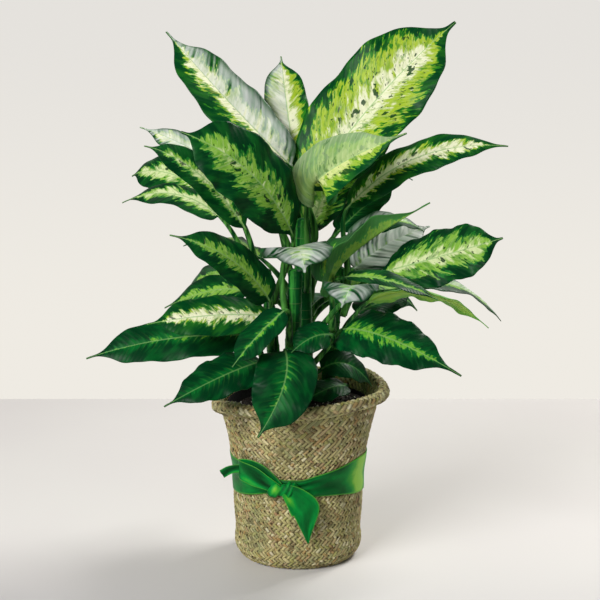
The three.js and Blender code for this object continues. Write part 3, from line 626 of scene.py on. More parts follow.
def leaf_finish(kind, deep, green, lime, pale, below=USUAL_BELOW, sheen=PAINTED_SHEEN_TONES):
    """A leaf blade: a deep green margin that breaks up along the side veins into lime and cream. Its
    painted sheen, a painted reflection of the light, follows the veins, but on the veiled kind it covers a
    whole half, with green dashes."""
    ribs = 0.0 if kind == "veiled" else 1.0
    f = Finish(f"leaf_{kind}", Specular_IOR_Level=0.1)
    across, along, seed = f.told("place")
    down, out, vein = f.told("flow")
    margin, cream, speckle = f.told("look")
    # The share of each half under the painted sheen, a painted reflection
    painted_sheen_left, painted_sheen_right, _ = f.told("silver")
    under, stalk, rib = f.told("skin")
    reach = abs(across)
    right = across.over(0.0)
    drift = f.noise(f.join(down * 0.9, out * 0.9, seed * 29 + right * 5)) - 0.5

    def patch(across_veins, along_veins, shift, detail=2.0):
        """A cloud drawn out along the side veins; the first two numbers are clouds per centimetre."""
        step = down + drift * 0.7
        side = seed * 37 + right * 11 + shift
        return f.noise(f.join(step * across_veins, out * along_veins, side), 1.0, detail)

    def ragged(size, *cloud):
        return (patch(*cloud) - 0.5) * size

    # Depth is how far a point lies inside the pale zone, whose edge is ragged along the veins
    crossing = vein.wave() * 0.5 + 0.5
    taper = (1 - along).eased(0.0, 0.24) * along.eased(-0.04, 0.08)
    depth = margin * taper - reach + ragged(0.9, 0.45, 0.4, 0.0)
    depth = depth + ragged(1.0, 1.5, 0.75, 4.0, 3.0) + ragged(0.5, 4.0, 1.7, 8.0, 3.0)
    edge = depth.eased(-0.015, 0.03)
    lit = (depth - 0.07 + ragged(0.55, 2.6, 1.4, 21.0, 3.0)).eased(0.0, 0.1)
    mottled = patch(1.6, 1.1, 27.0, 4.0).eased(0.5, 0.6) * patch(0.5, 0.4, 29.0).eased(0.44, 0.6)
    lit = lit * (1 - mottled * speckle * 0.75)
    streaks = patch(3.4, 0.8, 50.0, 3.0)
    creamed = depth + (streaks - 0.5) * 0.35 + ragged(0.8, 0.9, 0.8, 54.0, 4.0) - (1 - cream) * 0.6
    creamed = creamed.eased(-0.04, 0.3) * cream.eased(0.02, 0.2)
    # Painted soft sheen: lighter green near the midrib of leaves with a narrow pale zone
    glow = (0.36 - reach + ragged(1.2, 1.8, 0.5, 60.0, 3.0)).eased(0.0, 0.4) * (1 - margin).eased(0.4, 0.9)
    yellow = f.blend(lime, green, patch(1.3, 0.9, 71.0, 4.0).eased(0.48, 0.7) * 0.45)
    island = patch(0.6, 0.6, 12.0, 3.0).eased(0.63, 0.65)
    fleck = patch(2.6, 1.7, 16.0, 3.0).eased(0.63, 0.66)
    faint = patch(0.8, 0.5, 83.0).eased(0.4, 0.65)
    vein_line = crossing.eased(0.88, 1.0) * (1 - reach).eased(0.2, 0.9) * faint
    rib_line = (1 - rib).eased(0.1, 0.6) * (0.55 + margin * 0.2)
    # On dark leaves the midrib runs out a little way into its side veins
    feather = crossing.eased(0.6, 1.0) * (1 - reach).eased(0.6, 1.05) * (0.3 - margin).eased(0.0, 0.3)
    feather = feather * (1 - along).eased(0.2, 0.7) * patch(1.6, 0.5, 91.0).eased(0.42, 0.64)
    silver = f.blend(painted_sheen_left, painted_sheen_right, right)
    ribbed = (patch(0.9, 0.2, 31.0, 3.0) + crossing * 0.08).eased(0.34, 0.6) * ribs + (1 - ribs)
    bands = crossing * 0.14 + patch(0.9, 0.12, 39.0, 3.0).eased(0.32, 0.68) * 0.62
    tone = bands * ribs + patch(0.4, 0.4, 35.0) * (1.2 - ribs * 0.8)
    tone = tone + crossing.eased(0.5, 1.0) * (1 - ribs) * 0.25
    colour = f.layered(
        deep,
        # The dark ground with a painted soft sheen, in lighter patches and near the midrib, and the green
        # between it and the pale zone
        (f.blend(deep, green, 0.4), patch(0.7, 0.6, 17.0).eased(0.4, 0.7)),
        (green, glow * 0.7),
        (green, edge),
        # The pale zone, and the dark islands and flecks in it
        (f.blend(yellow, pale, streaks.eased(0.45, 0.8) * 0.2), lit),
        (f.blend(pale, lime, streaks.eased(0.55, 0.3) * 0.25), creamed * (0.25 + lit * 0.75)),
        (deep, (island.most(fleck * 0.85) * speckle * edge).least(0.92)),
        # Side veins and midrib
        (f.blend(green, pale, edge * 0.8 + 0.1), vein_line * 0.26),
        ((104, 178, 72), feather * 0.5),
        (f.blend(green, (164, 204, 130), 0.5 + margin * 0.4), rib_line),
        # The silver gloss over a half
        # The painted sheen over a half: a silvery painted reflection, in bands along the veins but on the
        # veiled kind
        (f.blend(*sheen, tone), ribbed * silver * (1.05 - reach * ribs).eased(0.0, 0.4)),
    )
    # On the veiled kind, green dashes break up the painted sheen
    if not ribs:
        dashes = patch(2.4, 0.9, 97.0).eased(0.62, 0.67) * silver
        colour = f.blend(colour, f.blend(deep, green, 0.4), dashes * 0.8)
    run = f.noise(f.stretched(f.place(), (170.0, 170.0, 14.0)), 1.0, 3.0).eased(0.35, 0.7)
    colour = f.layered(
        colour,
        (f.blend(below, lime, lit * 0.4), under * 0.5),
        (f.blend((2, 60, 22), (86, 152, 64), run), stalk),
    )
    grain = f.noise(f.place(), 900.0)
    veined = f.bump(crossing ** 1.5 * (1 - stalk), 0.0004, 0.3)
    rough = 0.34 + under * 0.2 + grain * 0.1
    return f.ends(Base_Color=colour, Roughness=rough, Normal=f.bump(grain, 0.0001, 0.15, veined))


def plait_finish():
    """Dried sedge strips: each strip and each of its floats has its own shade of straw."""
    f = Finish("plaited_straw", Specular_IOR_Level=0.35)
    across, along, strip = f.told("weave")
    float_number = (along * (2 / WEAVE_REPEAT) + 0.5).whole()
    straw = f.ramp(f.chance(strip, 3.0) * 0.25 + f.chance(strip, float_number) * 0.75, [
        (0.0, (128, 114, 70)), (0.2, (158, 146, 96)), (0.42, (186, 176, 120)),
        (0.6, (174, 168, 114)), (0.8, (202, 191, 138)), (1.0, (224, 214, 166)),
    ])
    # Some floats have a tint of their own: a random number that must be over a limit, and a share
    for shift, limit, tint, share in [
        (50, 0.86, (172, 120, 66), 0.55), (61, 0.8, (120, 134, 92), 0.5),
        (72, 0.86, (178, 138, 112), 0.4), (83, 0.84, (160, 166, 72), 0.4),
        (94, 0.91, (84, 64, 38), 0.7), (105, 0.93, (240, 232, 196), 0.6),
    ]:
        straw = f.blend(straw, tint, f.chance(strip, float_number + shift).over(limit) * share)
    fibres = f.noise(f.join(across * 4, along * 0.6, strip * 3.1), 1.0, 3.0)
    blotch = f.noise(f.place(), 40.0, 3.0)
    moss = f.noise(f.place(), 26.0)
    straw = f.layered(
        straw,
        ((84, 68, 42), fibres.eased(0.52, 0.78) * 0.5),
        # Painted shade: each strip darkens towards its edges, next to the gaps
        ((50, 38, 20), abs(across).eased(0.5, 1.0) * 0.66),
        ((104, 92, 62), blotch.eased(0.5, 0.75) * 0.4),
        ((116, 124, 78), moss.eased(0.5, 0.7) * 0.35),
    )
    return f.ends(Base_Color=straw, Roughness=0.5 + fibres * 0.25, Normal=f.bump(fibres, 0.0006, 0.8))


def plait_back_finish():
    """The shade between the strips, and the plaited inside of the basket."""
    f = Finish("plait_backing", Specular_IOR_Level=0.2)
    fibres = f.noise(f.place(), 420.0, 3.0)
    colour = f.blend((38, 30, 18), (84, 70, 44), fibres.eased(0.3, 0.8))
    return f.ends(Base_Color=colour, Roughness=0.8 + fibres * 0.1, Normal=f.bump(fibres, 0.001))


def ribbon_finish():
    """Green satin that runs from deep green in its folds to lime where it catches the light."""
    f = Finish("green_satin", Specular_IOR_Level=0.1, Sheen_Weight=0.02, Sheen_Roughness=0.35,
               Sheen_Tint=paint(120, 230, 60))
    across, along, lustre = f.told("cloth")
    threads = f.noise(f.join(across * 46, along * 0.02, 0.0))
    picks = (along * 1.6).wave()
    shade = f.noise(f.join(across * 1.6, along * 0.045, 0.0), 1.0, 3.0) - 0.5
    colour = f.ramp(lustre + shade * 0.5 + (threads - 0.5) * 0.12, [
        (0.0, (0, 40, 14)), (0.28, (0, 96, 38)), (0.5, (0, 136, 52)),
        (0.74, (64, 170, 52)), (1.0, (146, 208, 70)),
    ])
    colour = f.blend(colour, (96, 180, 60), abs(across).eased(0.9, 0.97) * 0.6)
    cloth = f.bump(threads * 0.7 + picks * 0.1, 0.0002, 0.5)
    return f.ends(Base_Color=colour, Roughness=0.36 + threads * 0.16, Normal=cloth)


def pot_finish():
    f = Finish("black_pot_plastic", Specular_IOR_Level=0.03)
    grain = f.noise(f.place(), 700.0)
    colour = f.blend((8, 8, 8), (22, 22, 21), grain.eased(0.35, 0.7))
    return f.ends(Base_Color=colour, Roughness=0.6 + grain * 0.2, Normal=f.bump(grain, 0.0002, 0.4))


def mix_finish(name, dark, light):
    f = Finish(name, Specular_IOR_Level=0.3)
    crumbs = f.noise(f.place(), 480.0, 4.0)
    damp = f.noise(f.place(), 60.0)
    colour = f.blend(dark, light, crumbs.eased(0.42, 0.7) * (0.4 + damp * 0.6))
    return f.ends(Base_Color=colour, Roughness=0.75 + damp * 0.2, Normal=f.bump(crumbs, 0.0015))


def cane_finish():
    """A fleshy green cane with pale rings where old leaves grew."""
    f = Finish("green_cane", Specular_IOR_Level=0.1)
    ring, height, _ = f.told("bark")
    run = f.noise(f.stretched(f.place(), (190.0, 190.0, 7.0)), 1.0, 3.0)
    colour = f.layered(
        (0, 72, 28),
        ((54, 142, 52), run.eased(0.42, 0.7)),
        ((92, 92, 52), (1 - height).eased(0.7, 1.0) * 0.7),
        ((140, 158, 96), ring.eased(0.6, 1.0) * 0.2),
    )
    grain = f.noise(f.place(), 300.0, 3.0)
    return f.ends(Base_Color=colour, Roughness=0.36 + grain * 0.2, Normal=f.bump(grain, 0.0003, 0.4))


def table_finish():
    """A pale table with painted shade that makes it darker towards the camera."""
    f = Finish("pale_table", Specular_IOR_Level=0.3)
    cloud = f.noise(f.place(), 2.0)
    _, far, _ = f.parts(f.place())
    colour = f.layered(
        (214, 211, 209),
        ((217, 215, 212), cloud.eased(0.3, 0.7)),
        # Painted shade, darker towards the camera
        ((188, 188, 189), (0 - far).eased(-0.05, 0.55)),
    )
    return f.ends(Base_Color=colour, Roughness=0.5 + cloud * 0.05)


def wall_finish():
    """A pale wall with light of its own."""
    f = Finish("pale_wall", Emission_Strength=0.98, Specular_IOR_Level=0.0, Base_Color=(0, 0, 0, 1))
    _, _, height = f.parts(f.place())
    glow = f.blend((241, 237, 229), (231, 228, 223), height.eased(-0.55, 0.5))
    return f.ends(Emission_Color=glow)


# Basket
def wall_radius(height):
    return along_list(WALL_RADII, height)


def rim_top(angle):
    tops = np.array(RIM_TOPS, float)
    place = angle / (2 * math.pi) * len(tops) % len(tops)
    before = np.floor(place).astype(int)
    ease = (1 - np.cos(math.pi * (place - before))) / 2
    return mix(tops[before % len(tops)], tops[(before + 1) % len(tops)], ease)


def basket_stations():
    """The basket's outline from foot over rim to inside: (1 on the rolled rim, radius or turn, height)."""
    wall_foot = WALL_RADII[1][0]
    outside = np.array([*FOOT_STATIONS, *np.arange(wall_foot, WALL_TOP, STATION_STEP), WALL_TOP])
    inside = np.arange(WALL_TOP, INSIDE_FOOT, -INSIDE_STEP)
    return np.concatenate([
        columns(0, wall_radius(outside), outside),
        columns(1, np.linspace(*RIM_ROLL, RIM_STATIONS), 0),
        columns(0, wall_radius(inside) - BASKET_WALL, inside),
    ])


STATIONS = basket_stations()


def station_point(station, angle):
    """Where a station of the basket's outline lies at an angle, arrays in and out."""
    on_rim, first, height = station[..., 0], station[..., 1], station[..., 2]
    top = rim_top(angle)
    tube = RIM_THICKNESS / 2
    lift = np.maximum(0, (height - FLARE_FOOT) / (WALL_TOP - FLARE_FOOT)) ** 2
    turn = np.radians(first)
    radius = np.where(on_rim > 0, RIM_RADIUS + tube * np.cos(turn), first)
    wall_z = height + (top - min(RIM_TOPS)) * lift
    z = np.where(on_rim > 0, top - tube + tube * np.sin(turn), wall_z)
    shift = RIM_SHIFT * np.maximum(0, (z - FLARE_FOOT) / (top - FLARE_FOOT))
    return columns(radius * np.cos(angle) + shift, radius * np.sin(angle), z)


def basket_point(place, angle):
    """A point of the basket's skin at a place along its stations, which may lie between two of them."""
    place = np.clip(place, 0, len(STATIONS) - 1.001)
    low = np.floor(place).astype(int)
    share = (place - low)[..., None]
    return mix(station_point(STATIONS[low], angle), station_point(STATIONS[low + 1], angle), share)


def basket_skin(place, angle):
    """A point of the skin, with the ways outwards, along the outline and round the basket there."""
    d = 0.01
    onwards = unit(basket_point(place + d, angle) - basket_point(place - d, angle))
    around = unit(basket_point(place, angle + d) - basket_point(place, angle - d))
    return basket_point(place, angle), unit(np.cross(around, onwards)), onwards, around


def crossing_places():
    """Places along the stations at which the strips cross, from equal steps of turn."""
    fine = np.arange(0, len(STATIONS) - 1.05, 0.05)
    points = basket_point(fine, np.full_like(fine, SPACING_ANGLE))
    length = np.linalg.norm(np.diff(points, axis=0), axis=1)
    radius = np.hypot(points[:-1, 0] - RIM_SHIFT / 2, points[:-1, 1])
    turn = np.concatenate([[0], np.cumsum(length / radius)])
    turns = np.arange(0, turn[-1], math.pi / STRIPS_EACH_WAY / STEPS_PER_CROSSING)
    return np.interp(turns, turn, fine), turns


def weave_drift(angle, crossing):
    """How far, in crossings, the pattern of overs and unders has wandered at a place of the basket."""
    slow = 1.3 * np.sin(2 * angle + 1.5 * np.sin(crossing / 11))
    return slow + 0.8 * np.sin(5 * angle + crossing / 6) + 0.35 * np.sin(13 * angle - crossing / 3.1)


def plait():
    """The strips, each with its points, its faces and what the straw needs to know of each point."""
    places, turns = crossing_places()
    crossing = turns * STRIPS_EACH_WAY / math.pi
    profile, sag = np.array(STRIP_PROFILE).T
    rows, count = len(places), len(profile)
    faces = []
    for k in range(count - 1):
        a = np.arange(rows - 1) * count + k
        faces += columns(a, a + 1, a + count + 1, a + count).tolist()
    slack = 2 * math.pi / STRIPS_EACH_WAY
    strips = []
    for hand, first in ((1, 0), (-1, SECOND_FAMILY)):
        for number in range(STRIPS_EACH_WAY):
            angle = number * slack + hand * turns + waviness(crossing, 9, 3, STRIP_WANDER * slack)
            centre, outwards, onwards, around = basket_skin(places, angle)
            sideways = np.cross(unit(onwards + hand * around), outwards)
            phase = crossing + weave_drift(angle, crossing)
            # Each quarter of the basket shows more of one family than of the other
            over = np.cos(2 * math.pi / WEAVE_REPEAT * phase) - WEAVE_FAVOUR * np.sin(2 * angle)
            over = hand * np.clip(WEAVE_STEEPNESS * over, -1, 1)
            lift = WEAVE_DEPTH * over - WEAVE_INSET + waviness(crossing, 5, 2, HEIGHT_CHANGE)
            half = np.hypot(centre[:, 0], centre[:, 1]) * slack * math.sqrt(0.5) / 2 * STRIP_FILL
            half *= 1 + waviness(crossing, 5, 3, WIDTH_CHANGE) + WIDTH_SPREAD * rng.standard_normal()
            roll = waviness(crossing, 5, 2, ROLL_CHANGE)
            wide = half[:, None] * profile
            up = lift[:, None] + sag + roll[:, None] * wide
            points = centre[:, None, :] + moved(sideways, wide) + moved(outwards, up)
            strips.append((points, faces, columns(profile, phase[:, None], first + number)))
    return strips


def basket_shell():
    """The closed skin behind the strips, from the middle of the base over the rim to the floor inside."""
    angles = full_turn(SHELL_SIDES)
    rings = []
    for place in range(len(STATIONS) - 1):
        point, outwards, _, _ = basket_skin(np.full(SHELL_SIDES, float(place)), angles)
        rings.append(point - outwards * SHELL_INSET)
    rings += [polar(radius, angles, height) for radius, height in SHELL_INSIDE]
    points = np.concatenate(rings + [[(0, 0, BASKET_FLOOR), (0, 0, SHELL_FOOT)]])
    floor, foot = len(points) - 2, len(points) - 1
    faces = loft_faces(len(rings), SHELL_SIDES) + pole_faces(0, SHELL_SIDES, foot, True)
    faces += pole_faces(floor - SHELL_SIDES, SHELL_SIDES, floor, False)
    return points, faces, np.zeros_like(points)


def basket():
    shell = basket_shell()
    points, faces, weave = joined(plait() + [shell])
    finish_of_face = np.arange(len(faces)) >= len(faces) - len(shell[1])
    finishes = [plait_finish(), plait_back_finish()]
    piece = make_piece("woven_basket", points, faces, finishes, {"weave": weave}, False, finish_of_face)
    stands_for(piece, "basket")


# Pot and potting mix
def turned_piece(name, outline, sides, finish, shape=None):
    """A closed skin turned about the upright axis from (radius, height) pairs that start and end on it."""
    rings = [polar(radius, full_turn(sides), height) for radius, height in outline[1:-1]]
    points = np.concatenate(rings + [[(0, 0, outline[0][1]), (0, 0, outline[-1][1])]])
    if shape is not None:
        points = shape(points)
    foot, top = len(points) - 2, len(points) - 1
    faces = loft_faces(len(rings), sides) + pole_faces(0, sides, foot, True)
    return make_piece(name, points, faces + pole_faces(foot - sides, sides, top, False), [finish])


def pot_radius(height):
    return mix(POT_FOOT_RADIUS, POT_TOP_RADIUS, (height - BASKET_FLOOR) / (POT_TOP - BASKET_FLOOR))


def grower_pot():
    foot = BASKET_FLOOR + CLEARANCE
    floor = foot + POT_WALL
    top = pot_radius(POT_TOP)
    outline = [
        (0, foot), (pot_radius(foot) - POT_ROUNDING, foot), (pot_radius(foot), foot + POT_ROUNDING),
        (pot_radius(LIP_FOOT), LIP_FOOT), (top - 0.2, LIP_FOOT + 2), (top + POT_LIP, LIP_FOOT + 3),
        (top + POT_LIP, POT_TOP - LIP_ROUNDING), (top + POT_LIP - LIP_ROUNDING, POT_TOP),
        (top - POT_WALL, POT_TOP), (pot_radius(floor) - POT_WALL, floor), (0, floor),
    ]
    stands_for(turned_piece("pot_shell", outline, POT_SIDES, pot_finish()), "grower_pot")


def mix_height(x, y):
    share = np.minimum(1, np.hypot(x, y) / POT_TOP_RADIUS)
    return MIX_EDGE_HEIGHT + MIX_SLOPE * x + MIX_MOUND * (1 - share * share)


def grain_tree(name, finish):
    """A geometry tree that strews rough grains over the surface that it is given."""
    tree = bpy.data.node_groups.new(name, "GeometryNodeTree")
    face = tree.interface
    face.new_socket("Surface", in_out="INPUT", socket_type="NodeSocketGeometry")
    for label in ("Grains per square metre", "Smallest grain", "Largest grain"):
        face.new_socket(label, in_out="INPUT", socket_type="NodeSocketFloat")
    face.new_socket("Seed", in_out="INPUT", socket_type="NodeSocketInt")
    face.new_socket("Grains", in_out="OUTPUT", socket_type="NodeSocketGeometry")

    def add(kind, inputs=(), out=0, **settings):
        return add_node(tree, kind, settings, inputs).outputs[out]

    given = tree.nodes.new("NodeGroupInput").outputs
    seed = given["Seed"]
    spread = add("GeometryNodeDistributePointsOnFaces", {
        "Mesh": given["Surface"], "Density": given["Grains per square metre"], "Seed": seed,
    })
    ball = add("GeometryNodeMeshIcoSphere", {"Radius": 1.0, "Subdivisions": 1})
    size = add("FunctionNodeRandomValue", {
        2: given["Smallest grain"], 3: given["Largest grain"], 8: seed,
    }, 1, data_type="FLOAT")
    squash, turn = (
        add("FunctionNodeRandomValue", {0: least, 1: most, 8: seed}, data_type="FLOAT_VECTOR")
        for least, most in (((0.7, 0.5, 0.45), (1.5, 1.1, 0.9)), ((0, 0, 0), (6.3, 6.3, 6.3)))
    )
    scale = add("ShaderNodeVectorMath", {0: squash, "Scale": size}, operation="SCALE")
    strewn = add("GeometryNodeInstanceOnPoints", {
        "Points": spread, "Instance": ball, "Rotation": turn, "Scale": scale,
    })
    real = add("GeometryNodeRealizeInstances", {"Geometry": strewn})
    done = add("GeometryNodeSetMaterial", {"Geometry": real, "Material": finish})
    tree.links.new(done, tree.nodes.new("NodeGroupOutput").inputs["Grains"])
    return tree


def strew(name, surface, tree, *values):
    """Grains over a surface, as a plain mesh piece; the values are for the tree's named inputs in turn."""
    carrier = put(name + "_carrier", surface)
    layer = carrier.modifiers.new("grains", "NODES")
    layer.node_group = tree
    inputs = [item for item in tree.interface.items_tree if item.in_out == "INPUT"]
    for item, value in zip(inputs[1:], values):
        layer[item.identifier] = value
    bpy.context.view_layer.update()
    evaluated = carrier.evaluated_get(bpy.context.evaluated_depsgraph_get())
    piece = put(name, bpy.data.meshes.new_from_object(evaluated))
    bpy.data.objects.remove(carrier)
    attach(piece, "root")


def potting_mix():
    foot = BASKET_FLOOR + 2 * CLEARANCE + POT_WALL
    inset = POT_WALL + CLEARANCE
    edge = pot_radius(MIX_EDGE_HEIGHT - MIX_SLOPE * POT_TOP_RADIUS) - inset
    outline = [(0, foot), (pot_radius(foot) - inset, foot), (edge, MIX_SHOULDER)]
    outline += [(radius, POT_TOP) for radius in [*np.linspace(edge, 2, MIX_RINGS), 0]]

    def shape(points):
        """Sets the points of the top, which are still level, to the heap's own height."""
        top = points[:, 2] > MIX_SHOULDER
        x, y = points[top, 0], points[top, 1]
        lumps = np.sin(x * 0.31 + 2 * np.sin(y * 0.17)) * np.cos(y * 0.27 + 1.6 * np.sin(x * 0.21))
        lumps = lumps + 0.5 * np.sin(x * 0.73 + y * 0.4) * np.cos(y * 0.66 - x * 0.3)
        calm = np.clip((edge - np.hypot(x, y)) / 6, 0, 1)
        points[top, 2] = mix_height(x, y) + MIX_ROUGHNESS * lumps * calm - MIX_SINK
        return points

    dark = mix_finish("dark_potting_mix", (16, 12, 9), (58, 44, 32))
    white = mix_finish("perlite", (176, 172, 160), (232, 230, 222))
    heap = turned_piece("mix_heap", outline, MIX_SIDES, dark, shape)
    stands_for(heap, "potting_mix")
    points = np.array([v.co for v in heap.data.vertices]) / MM
    inside = (points[:, 2] > MIX_SHOULDER) & (np.hypot(points[:, 0], points[:, 1]) < edge - GRAIN_MARGIN)
    on_top = [list(p.vertices) for p in heap.data.polygons if inside[list(p.vertices)].all()]
    top = bpy.data.meshes.new("mix_top")
    top.from_pydata((points * MM).tolist(), [], on_top)
    strew("mix_crumbs", top, grain_tree("crumbs", dark), 95000.0, 0.0008, 0.0022, 3)
    strew("perlite_grains", top, grain_tree("perlite", white), 16000.0, 0.0008, 0.0019, 8)


# Canes
def cane_share(cane, height):
    """How far a height is along the leaning part of a cane."""
    top = CANES[cane]["top"][2]
    return np.maximum(0, (np.asarray(height, float) - CANE_STRAIGHT_TO) / (top - CANE_STRAIGHT_TO))


def cane_axis(cane, height):
    foot, top = CANES[cane]["foot"], CANES[cane]["top"]
    share = cane_share(cane, height)
    return columns(mix(foot[0], top[0], share), mix(foot[1], top[1], share), height)


def cane_radius(cane, height):
    return mix(*CANES[cane]["radius"], cane_share(cane, height))


def cane_stem(cane, finish):
    top = CANES[cane]["top"][2]
    heights = np.append(np.arange(CANE_FOOT, top - CANE_ROUNDING, CANE_ROW_STEP), top - CANE_TOP_ROWS)
    phase = ((heights - CANE_FOOT) / SCAR_PITCH + waviness(heights, 60, 2, SCAR_UNEVENNESS)) % 1
    scar = bell(phase, 0.5, SCAR_WIDTH)
    shoulder = SHOULDER * np.clip(phase - 0.5, 0, 1)
    # The top is rounded over its last millimetres
    blunt = np.sqrt(np.clip((top + 0.6 - heights) / CANE_ROUNDING, 0.05, 1))
    radius = (cane_radius(cane, heights) - CANE_INSET + SCAR_HEIGHT * scar - shoulder) * blunt
    points = cane_axis(cane, heights)[:, None, :] + polar(radius[:, None], full_turn(CANE_SIDES), 0)
    bark = columns(scar, (heights - CANE_FOOT) / (top - CANE_FOOT), 0)[:, None, :]
    rows = len(heights)
    faces = loft_faces(rows, CANE_SIDES)
    faces.append(list(range(CANE_SIDES))[::-1])
    faces.append([(rows - 1) * CANE_SIDES + k for k in range(CANE_SIDES)])
    piece = make_piece(f"ringed_cane_{cane}", points, faces, [finish], {"bark": bark})
    stands_for(piece, f"cane_{cane}")


# Leaves
def blade_rows(leaf, seed):
    """The blade as rows of points along its midrib, with what its material needs at each point, and the
    ways along and sideways at its heel."""
    heel, crest, tip = (np.array(point, float) for point in (leaf.heel, leaf.crest, leaf.tip))
    share = np.linspace(0, 1, BLADE_ROWS)
    share = np.sin(share * math.pi / 2) * TIP_CROWDING + share * (1 - TIP_CROWDING)
    share[-1] = 1
    centre, along = bezier([heel, 2 * crest - 0.5 * heel - 0.5 * tip, tip], share)
    facing = unit(np.array(leaf.faces, float))
    level_up = unit(facing - (along @ facing)[:, None] * along)
    level_side = np.cross(along, level_up)
    s = share[:, None]
    turn = math.radians(leaf.twist) * s
    up = level_up * np.cos(turn) + level_side * np.sin(turn)
    side = level_side * np.cos(turn) - level_up * np.sin(turn)
    bent = s ** (math.log(USUAL_BELLY) / math.log(leaf.belly))
    half = leaf.width / 2 * along_list(BLADE_OUTLINE, bent)
    fold, curl = math.radians(leaf.fold), math.radians(BLADE_CURL)
    u, sign = np.abs(ACROSS), np.sign(ACROSS)
    slope = fold - curl * u
    out = half * (math.sin(fold) - np.sin(slope)) / curl
    rise = half * (np.cos(slope) - math.cos(fold)) / curl
    lean = slope * sign
    lag = np.where(ACROSS < 0, WAVE_LAG, 0)
    wave = leaf.width * MARGIN_WAVE * np.minimum(1, 4 * s * (1 - s)) * u**2
    wave = wave * np.sin(2 * math.pi * leaf.waves * s + lag)
    ripple = leaf.width * MARGIN_RIPPLE * np.minimum(1, 5 * (1 - s)) * u**4
    ripple = ripple * np.sin(2 * math.pi * (leaf.waves * RIPPLES_PER_WAVE * s + seed) + 3 * lag)
    reach = half * u
    back = LOBE * reach * u * (1 - s) ** 4
    rib_near = np.clip(1 - reach / (RIB_WIDTH / 2), 0, 1)

    def face(lift, drop):
        sideways = moved(side, sign * out - lift * np.sin(lean))
        upwards = moved(up, rise + wave + ripple + lift * np.cos(lean) - drop)
        return centre[:, None, :] + sideways + upwards - moved(along, back)

    upper = face(BLADE_THICKNESS / 2, RIB_GROOVE * rib_near * (1 - s))
    lower = face(-BLADE_THICKNESS / 2, mix(STALK_RADIUS_AT_BLADE, RIB_AT_TIP, s) * rib_near)
    pitch = VEIN_PITCH * math.sqrt(leaf.width / VEIN_WIDTH_REFERENCE)
    vein = (length_along(centre)[:, None] - VEIN_SLANT * reach - VEIN_BEND * reach**2 / leaf.width) / pitch
    flow = columns(vein * pitch / 10, reach / 10, vein)
    place = columns(ACROSS, s, seed)
    rib = reach / mix(*RIB_LINE, s)
    told = {
        "place": wrapped(place, place), "flow": wrapped(flow, flow),
        "skin": wrapped(columns(0, 0, rib), columns(1, 0, rib)),
    }
    return wrapped(upper, lower), told, along[0], side[0]


def stalk_rows(leaf, along_blade, side, seed):
    """The leaf stalk as rows of points from the cane up to the blade, like those of the blade."""
    axis = cane_axis(leaf.cane, leaf.start)
    heel = np.array(leaf.heel, float)
    outwards = unit((heel - axis) * (1, 1, 0))
    off = cane_radius(leaf.cane, leaf.start) + STALK_RADIUS_AT_CANE + STALK_GAP
    root = axis + outwards * off
    reach = np.linalg.norm(heel - root)
    rise = np.array([0, 0, STALK_RISE * reach]) + outwards * STALK_SPREAD * reach
    share = np.linspace(0, STALK_END, STALK_ROWS)
    centre, along = bezier([root, root + rise, heel - along_blade * STALK_LEAD * reach, heel], share)
    count = 2 * len(ACROSS)
    angles = math.pi - (np.arange(count) + 0.5) * 2 * math.pi / count
    # The upper side of a stalk has a shallow channel
    channel = 1 - CHANNEL_DEPTH * bell((angles + math.pi / 2) % (2 * math.pi) - math.pi, 0, CHANNEL_WIDTH)
    rows = []
    for i in range(STALK_ROWS - 1, -1, -1):
        side = unit(side - (side @ along[i]) * along[i])
        up = np.cross(side, along[i])
        radius = mix(STALK_RADIUS_AT_CANE, STALK_RADIUS_AT_BLADE, share[i])
        ring = side * (np.cos(angles) * channel)[:, None] + up * (np.sin(angles) * channel)[:, None]
        rows.append(centre[i] + radius * ring)
    return np.array(rows[::-1]), {"place": (0, 0, seed), "flow": (0, 0, 0), "skin": (0, 1, 1)}


def grow_leaf(leaf, number, finish):
    seed = number * GOLDEN_SHARE % 1
    blade, told, along, side = blade_rows(leaf, seed)
    stalk, told_of_stalk = stalk_rows(leaf, along, side, seed)
    for key, value in told_of_stalk.items():
        told[key] = np.concatenate([np.broadcast_to(value, stalk.shape), told[key]])
    points = np.concatenate([stalk, blade])
    told |= {"look": leaf.look, "silver": (*leaf.silver, 0)}
    piece = make_piece(f"blade_{leaf.name}", points, tube_faces(*points.shape[:2]), [finish], told)
    stands_for(piece, f"leaf_{leaf.name}")


# Ribbon
def cloth_shell(upper, lower, across, along, lustre, closed=False):
    """A closed skin over the upper and lower face of a ribbon, with its points, faces and their cloth."""
    rows, count = upper.shape[:2]
    faces = loft_faces(rows, 2 * count, True) if closed else tube_faces(rows, 2 * count)
    told = columns(across, along[:, None], lustre)
    return wrapped(upper, lower), faces, wrapped(told, told)


def ribbon_band():
    turn = np.linspace(0, 360, BAND_ROWS, endpoint=False)[:, None]
    low, high = (along_list(BAND_EDGES[:, [0, k]], turn) for k in (1, 2))
    across = np.linspace(-1, 1, BAND_COLUMNS)
    z = mix(low, high, (across + 1) / 2)
    gather = bell((turn - KNOT_TURN + 180) % 360 - 180, 0, KNOT_GATHER)
    bend = np.radians(turn)
    pleats = KNOT_PLEATS * gather * (np.sin(across * 9 + 2.2 * np.sin(bend * 3)) + 1) / 2
    creases = CREASE_HEIGHT * (np.sin(across * 3.4 + bend * 7) + 1) * (1 - gather) * (1 - across**2)
    drift = BAND_DRIFT * (1 + np.sin(bend * 5 + 1))
    base = wall_radius(z) + 2 * CLEARANCE + pleats + creases + drift
    # The band shines lime where it turns towards the light, and is deep green in its folds
    shine = 0.8 * bell(turn, 338, 15) - 0.08 * bell(turn, 304, 12) + 0.1 * bell(turn, 225, 20)
    lustre = 0.36 + shine + 0.14 * (pleats - 0.9) * gather + 0.22 * (creases - 0.4)
    upper, lower = (polar(base + lift, bend, z) for lift in (RIBBON_THICKNESS, 0))
    return cloth_shell(upper, lower, across, bend[:, 0] * BAND_RADIUS, lustre, closed=True)


